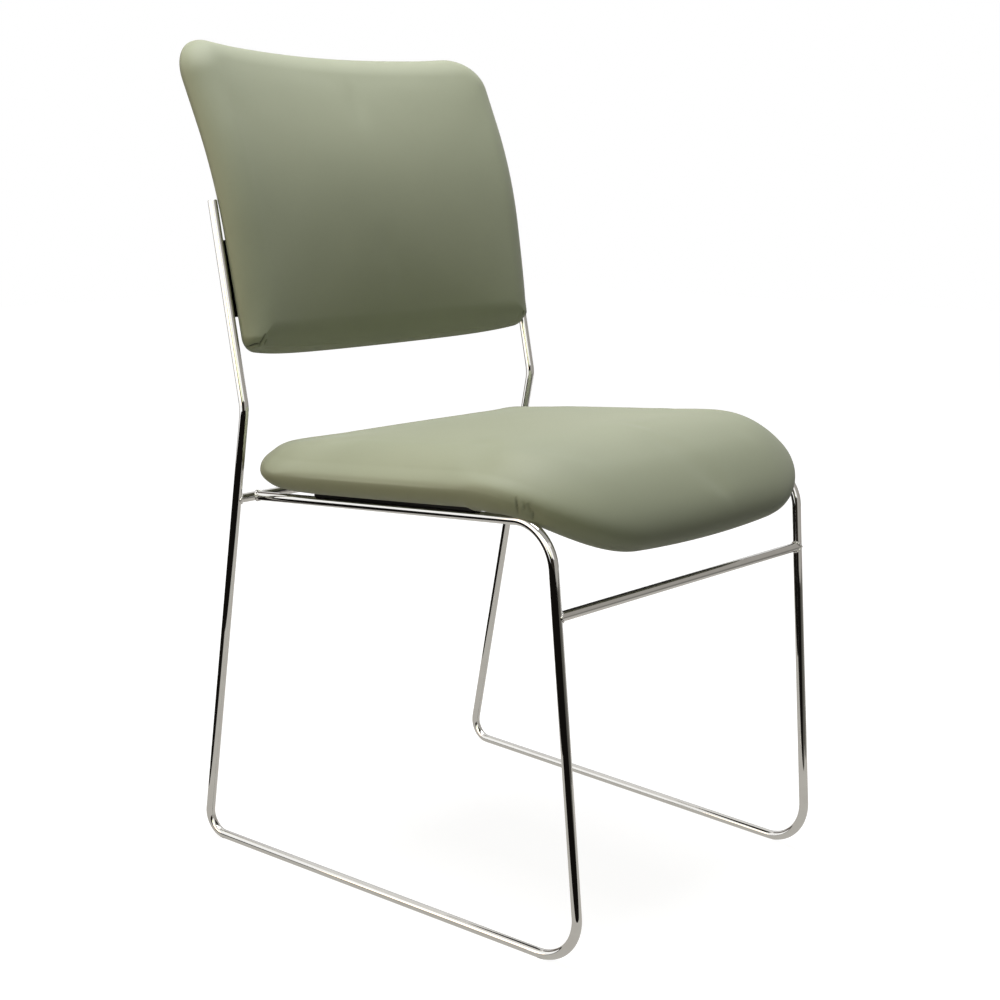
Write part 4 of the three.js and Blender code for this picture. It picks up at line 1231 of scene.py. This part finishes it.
def add_rear_panel():
    rim = BACK_BOARD_INSET
    low, high, _ = layers_of(BACK)
    low_rings = []
    for i in range(PANEL_ROLL_STEPS + 1):
        angle = pi / 2 * i / PANEL_ROLL_STEPS
        height = high - (high - low) * sin(angle)
        low_rings.append((rim + PANEL_ROLL * (1 - cos(angle)), level(height)))
    for i in range(-SEWING_STEPS, SEWING_STEPS + 1):
        share = i / SEWING_STEPS
        dip = SEWING_DEPTH * (0.5 + 0.5 * cos(pi * share))
        low_rings.append((rim + SEWING_INSET + share * SEWING_HALF_WIDTH, level(low + dip)))
    low_rings.append((rim + 2 * SEWING_INSET, level(low)))
    high_rings = [(rim + PANEL_ROLL, level(high))]
    mesh = leaf_mesh("back_rear_cover", BACK, low_rings, high_rings, PANEL_MIDDLE_STEPS)
    add_piece("back_rear_cover", mesh, VINYL, ["back_rear_panel"])


# Cross-head screws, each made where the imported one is
HEAD_RINGS = 16
HEAD_SIDES = 64
HEAD_RING_POWER = 0.9
HEAD_DOME_SHARE = 0.45
HEAD_EDGE_ROUND = 0.3 * MM
HEAD_EDGE_SHARE = 0.9
CROSS_HALF_WIDTH_SHARE = 0.11
CROSS_REACH_SHARE = 0.52
CROSS_DEPTH_SHARE = 0.5
THREAD_PITCH = 1 * MM
THREAD_DEPTH = 0.35 * MM
TIP_SHARE = 0.6
TIP_LAYER = 0.1 * MM


def screw_measures(node):
    """A packed screw's outer middle, heading, head radius, head height, shank radius and length."""
    points = np.array([vertex.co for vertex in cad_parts[node].data.vertices])
    middle = (points.max(axis=0) + points.min(axis=0)) / 2
    _, _, axes = np.linalg.svd(points - points.mean(axis=0), full_matrices=False)
    views = []
    for axis in axes:
        along = (points - middle) @ axis
        across = np.linalg.norm(points - middle - along[:, None] * axis, axis=1)
        views.append((across.max(), axis, along, across))
    head_r, axis, along, across = min(views, key=lambda view: view[0])
    at_head = across > head_r * HEAD_EDGE_SHARE
    if along[at_head].mean() > (along.max() + along.min()) / 2:
        axis, along = -axis, -along
    outer, tip = along.min(), along.max()
    shank_r = across[along > tip - TIP_LAYER].max()
    return middle + axis * outer, axis, head_r, along[at_head].max() - outer, shank_r, tip - outer


def cross_dip(x, y, head_r):
    half = head_r * CROSS_HALF_WIDTH_SHARE
    reach = head_r * CROSS_REACH_SHARE
    slots = []
    for across, along in ((np.abs(x), np.abs(y)), (np.abs(y), np.abs(x))):
        slots.append(limited(1.5 - across / half) * limited((reach - along) / half + 0.5))
    return np.maximum(*slots)


def screw_piece(node):
    start, axis, head_r, head_h, shank_r, length = screw_measures(node)
    angles = 2 * pi * np.arange(HEAD_SIDES) / HEAD_SIDES
    dome = head_h * HEAD_DOME_SHARE
    recess = head_h * CROSS_DEPTH_SHARE
    rings = []
    for i in range(1, HEAD_RINGS + 1):
        radius = head_r * sin(i / HEAD_RINGS * pi / 2) ** HEAD_RING_POWER
        low = dome * (1 - sqrt(max(1 - (radius / head_r) ** 2, 0)))
        dip = cross_dip(radius * np.cos(angles), radius * np.sin(angles), head_r)
        rings.append((radius, low + recess * dip))
    rings += [(head_r, head_h - HEAD_EDGE_ROUND), (head_r - HEAD_EDGE_ROUND, head_h), (shank_r, head_h)]
    for turn in range(max(int((length - head_h) / THREAD_PITCH) - 1, 1)):
        for share, depth in ((0.25, 0), (0.75, THREAD_DEPTH)):
            rings.append((shank_r - depth, head_h + (turn + share) * THREAD_PITCH))
    rings.append((shank_r * TIP_SHARE, length))
    across = np.cross(axis, X_AXIS)
    across /= np.linalg.norm(across)
    around = np.outer(np.cos(angles), across) + np.outer(np.sin(angles), np.cross(axis, across))
    inward = [np.outer(np.broadcast_to(height, HEAD_SIDES), axis) for _, height in rings]
    points = [start + radius * around + depth for (radius, _), depth in zip(rings, inward)]
    mesh = closed_mesh(node, points, (start + axis * recess)[None], (start + axis * length)[None])
    add_piece(node + "_pan_head", mesh, ZINC, [node])


FIXINGS = [f"{side_name}_{place}" for _, side_name in SIDES
           for place in ("rear_seat", "front_seat", "lower_back", "upper_back")]


def add_screws():
    for fixing in FIXINGS:
        screw_piece(fixing + "_screw")


# CAD pieces that keep their own shape: they get their finish, and the plates' edges are eased
PLATE_EDGE = 0.5 * MM
WELD_REACH = 0.01 * MM
EASED_ANGLE = radians(35)


def finish_node(name, material, edge=0.0):
    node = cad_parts[name]
    node.data.materials.clear()
    node.data.materials.append(material)
    if edge:
        weld = node.modifiers.new("weld", "WELD")
        weld.merge_threshold = WELD_REACH
        bevel = node.modifiers.new("bevel", "BEVEL")
        bevel.width = edge
        bevel.segments = 2
        bevel.limit_method = "ANGLE"
        bevel.angle_limit = EASED_ANGLE


def finish_nodes():
    for _, side_name in SIDES:
        finish_node(f"{side_name}_seat_plate", POWDER_COAT, PLATE_EDGE)
        finish_node(f"{side_name}_back_plate", POWDER_COAT, PLATE_EDGE)
    for fixing in FIXINGS:
        finish_node(fixing + "_tee_nut", ZINC)
    finish_node("seat_board", PLYWOOD)
    finish_node("back_board", PLYWOOD)


# Studio
FLOOR_SIZE = 14
FLOOR_GLOW = (0.93, 1.0)
FLOOR_GLOW_SPAN = (0.7, 2.4)
FLOOR_WHITE = (0.26, 0.26, 0.26, 1)
FLOOR_BOUNCE = (0.30, 0.30, 0.29, 1)
FULL_WHITE = (1, 1, 1, 1)
AMBIENT = 0.03


def add_camera():
    data = bpy.data.cameras.new("camera")
    data.sensor_width = SENSOR_WIDTH_MM
    data.lens = CAMERA_LENS_SHARE * SENSOR_WIDTH_MM
    camera = add_object("camera", data)
    camera.location = Vector((0, REAR_ROD_END.y, CAMERA_HEIGHT)) + CAMERA_FROM_REAR_ROD
    camera.rotation_euler = (pi / 2 + CAMERA_PITCH, 0, -CAMERA_YAW)
    bpy.context.scene.camera = camera


def split_by_ray(nodes, output, lighting, seen):
    """Shows one shader to straight, mirrored and refracted rays, and the other one to the rest."""
    path = nodes.add("ShaderNodeLightPath").outputs
    share = path["Is Camera Ray"]
    for name in ("Is Glossy Ray", "Is Transmission Ray"):
        share = nodes.add("ShaderNodeMath", share, path[name], operation="MAXIMUM").outputs["Value"]
    mix = nodes.add("ShaderNodeMixShader", share, lighting, seen)
    nodes.add(output, Surface=mix.outputs["Shader"])


def add_floor():
    bpy.ops.mesh.primitive_plane_add(size=FLOOR_SIZE, location=(0, 0, 0))
    floor = bpy.context.object
    floor.name = "floor"
    nodes = Nodes(bpy.data.materials.new("floor"))
    place = nodes.add("ShaderNodeTexCoord").outputs["Object"]
    distance = nodes.add("ShaderNodeVectorMath", place, operation="LENGTH").outputs["Value"]
    brightness = nodes.ranged(distance, *FLOOR_GLOW, *FLOOR_GLOW_SPAN)
    glow = nodes.add("ShaderNodeEmission", Color=FULL_WHITE, Strength=brightness).outputs["Emission"]
    white = nodes.add("ShaderNodeBsdfDiffuse", Color=FLOOR_WHITE).outputs["BSDF"]
    bounce = nodes.add("ShaderNodeBsdfDiffuse", Color=FLOOR_BOUNCE).outputs["BSDF"]
    both = nodes.add("ShaderNodeAddShader", white, glow).outputs["Shader"]
    split_by_ray(nodes, "ShaderNodeOutputMaterial", bounce, both)
    floor.data.materials.append(nodes.owner)


def add_world():
    world = bpy.data.worlds.new("studio")
    bpy.context.scene.world = world
    nodes = Nodes(world)
    ambient, seen = (
        nodes.add("ShaderNodeBackground", Color=FULL_WHITE, Strength=strength).outputs["Background"]
        for strength in (AMBIENT, 1.0)
    )
    split_by_ray(nodes, "ShaderNodeOutputWorld", ambient, seen)


def add_lamp(name, location, target, size, watts, colour):
    data = bpy.data.lights.new(name, "AREA")
    data.shape = "RECTANGLE"
    data.size, data.size_y = size
    data.energy = watts
    data.color = colour
    lamp = add_object(name, data)
    lamp.location = location
    lamp.rotation_euler = (Vector(target) - Vector(location)).to_track_quat("-Z", "Y").to_euler()
    lamp.visible_camera = False


# Cards that only mirrors see: strips between two rows of points. Angles are in degrees, from +X towards +Y;
# the camera stands at about 222 degrees. The pale ground that the chair stands on ends on a straight line a
# little in front of the nearest leg.
BLACK = (0.008, 0.007, 0.006)
WHITE = (1.0, 1.0, 1.0)
WARM_GREY = (0.64, 0.62, 0.58)
CARD_STEPS = 24
FLOOR_CARD_LIFT = 1 * MM
FLOOR_CARD_RADII = (0.3, 3.4)
NEAR_FLOOR_AHEAD = 0.43
NEAR_FLOOR_BEHIND = 1.2
NEAR_FLOOR_SIDES = (-0.75, 0.46)
NEAR_FLOOR_EDGE_TOP = 0.045
CEILING_HALF_WIDTH = 4.5
CEILING_HEIGHT = 2.7


def add_card(name, low_row, high_row, colour, strength=1):
    count = len(low_row)
    faces = [(i, i + 1, count + i + 1, count + i) for i in range(count - 1)]
    mesh = bpy.data.meshes.new(name)
    mesh.from_pydata(low_row + high_row, [], faces)
    nodes = Nodes(bpy.data.materials.new(name))
    glow = nodes.add("ShaderNodeEmission", Color=(*colour, 1), Strength=strength)
    nodes.add("ShaderNodeOutputMaterial", Surface=glow.outputs["Emission"])
    mesh.materials.append(nodes.owner)
    card = add_object(name, mesh)
    for ray in ("camera", "diffuse", "shadow", "transmission"):
        setattr(card, f"visible_{ray}", False)


def arc(radius, height, start, end):
    angles = [radians(start + (end - start) * i / CARD_STEPS) for i in range(CARD_STEPS + 1)]
    return [(radius * cos(a), radius * sin(a), height) for a in angles]


def floor_card(name, start, end, colour):
    inner, outer = (arc(radius, FLOOR_CARD_LIFT, start, end) for radius in FLOOR_CARD_RADII)
    add_card(name, inner, outer, colour)


def wall_card(name, radius, low, high, start, end, colour, strength=1):
    add_card(name, arc(radius, low, start, end), arc(radius, high, start, end), colour, strength)


def near_floor_card():
    ahead = Vector((-sin(CAMERA_YAW), -cos(CAMERA_YAW), 0))
    aside = Vector((ahead.y, -ahead.x, 0))
    lift = 2 * FLOOR_CARD_LIFT * Z_AXIS
    rows = [
        [tuple(ahead * reach + aside * side + lift) for side in NEAR_FLOOR_SIDES]
        for reach in (NEAR_FLOOR_AHEAD, -NEAR_FLOOR_BEHIND)
    ]
    add_card("near_floor", *rows, WARM_GREY)
    left_edge = [row[1] for row in rows]
    add_card("floor_edge", left_edge, [(x, y, NEAR_FLOOR_EDGE_TOP) for x, y, _ in left_edge], BLACK)


def ceiling_card(name, near, far, shade):
    rows = [[(x, y, CEILING_HEIGHT) for x in (-CEILING_HALF_WIDTH, CEILING_HALF_WIDTH)] for y in (near, far)]
    add_card(name, *rows, (shade, shade * 0.98, shade * 0.95))


def add_cards():
    near_floor_card()
    floor_card("dark_floor", 80, 262, BLACK)
    floor_card("dim_floor", 262, 296, (0.13, 0.125, 0.11))
    floor_card("grey_floor", 296, 330, (0.27, 0.26, 0.24))
    wall_card("low_flag", 3.0, 0, 1.0, 180, 240, (0.03, 0.025, 0.02))
    wall_card("left_glow", 2.9, 0.03, 2.6, 104, 180, WHITE, 1.4)
    wall_card("rear_left_wall", 3.0, 0, 2.6, 70, 104, (0.22, 0.19, 0.17))
    wall_card("front_glow", 2.9, 1.0, 2.6, 180, 258, WHITE, 1.5)
    wall_card("front_wall", 3.0, 0, 2.6, 240, 300, (0.53, 0.51, 0.48))
    wall_card("front_strip", 2.8, 1.0, 1.9, 208, 224, (0.42, 0.34, 0.27))
    wall_card("right_wall", 3.0, 0, 2.6, 300, 365, (0.46, 0.44, 0.41))
    wall_card("rear_low", 3.0, 0, 0.45, 5, 70, (0.10, 0.07, 0.05))
    wall_card("rear_wall", 3.0, 0.45, 2.6, 5, 70, (0.9, 0.9, 0.9))
    ceiling_card("rear_ceiling", 1.0, 4.5, 1.0)
    ceiling_card("middle_ceiling", -2.3, 1.0, 0.5)
    ceiling_card("front_ceiling", -4.5, -2.3, 1.0)


def add_studio():
    bpy.context.scene.view_settings.view_transform = "Standard"
    add_camera()
    add_floor()
    add_world()
    add_cards()
    add_lamp("overhead", (0, 0.1, 2.5), (0, 0.05, 0.4), (2.2, 1.4), 67, (0.98, 0.98, 1.0))
    add_lamp("left_front", (-2.2, -0.9, 1.4), (0, 0, 0.5), (1.4, 1.4), 11, (0.95, 1.0, 0.68))
    add_lamp("left_rear", (-2.2, 0.9, 1.0), (0, 0, 0.5), (1.4, 1.4), 10, (1.0, 0.7, 0.38))


add_studio()
add_rods()
add_pads()
add_dust_cloth()
add_rear_panel()
add_screws()
finish_nodes()
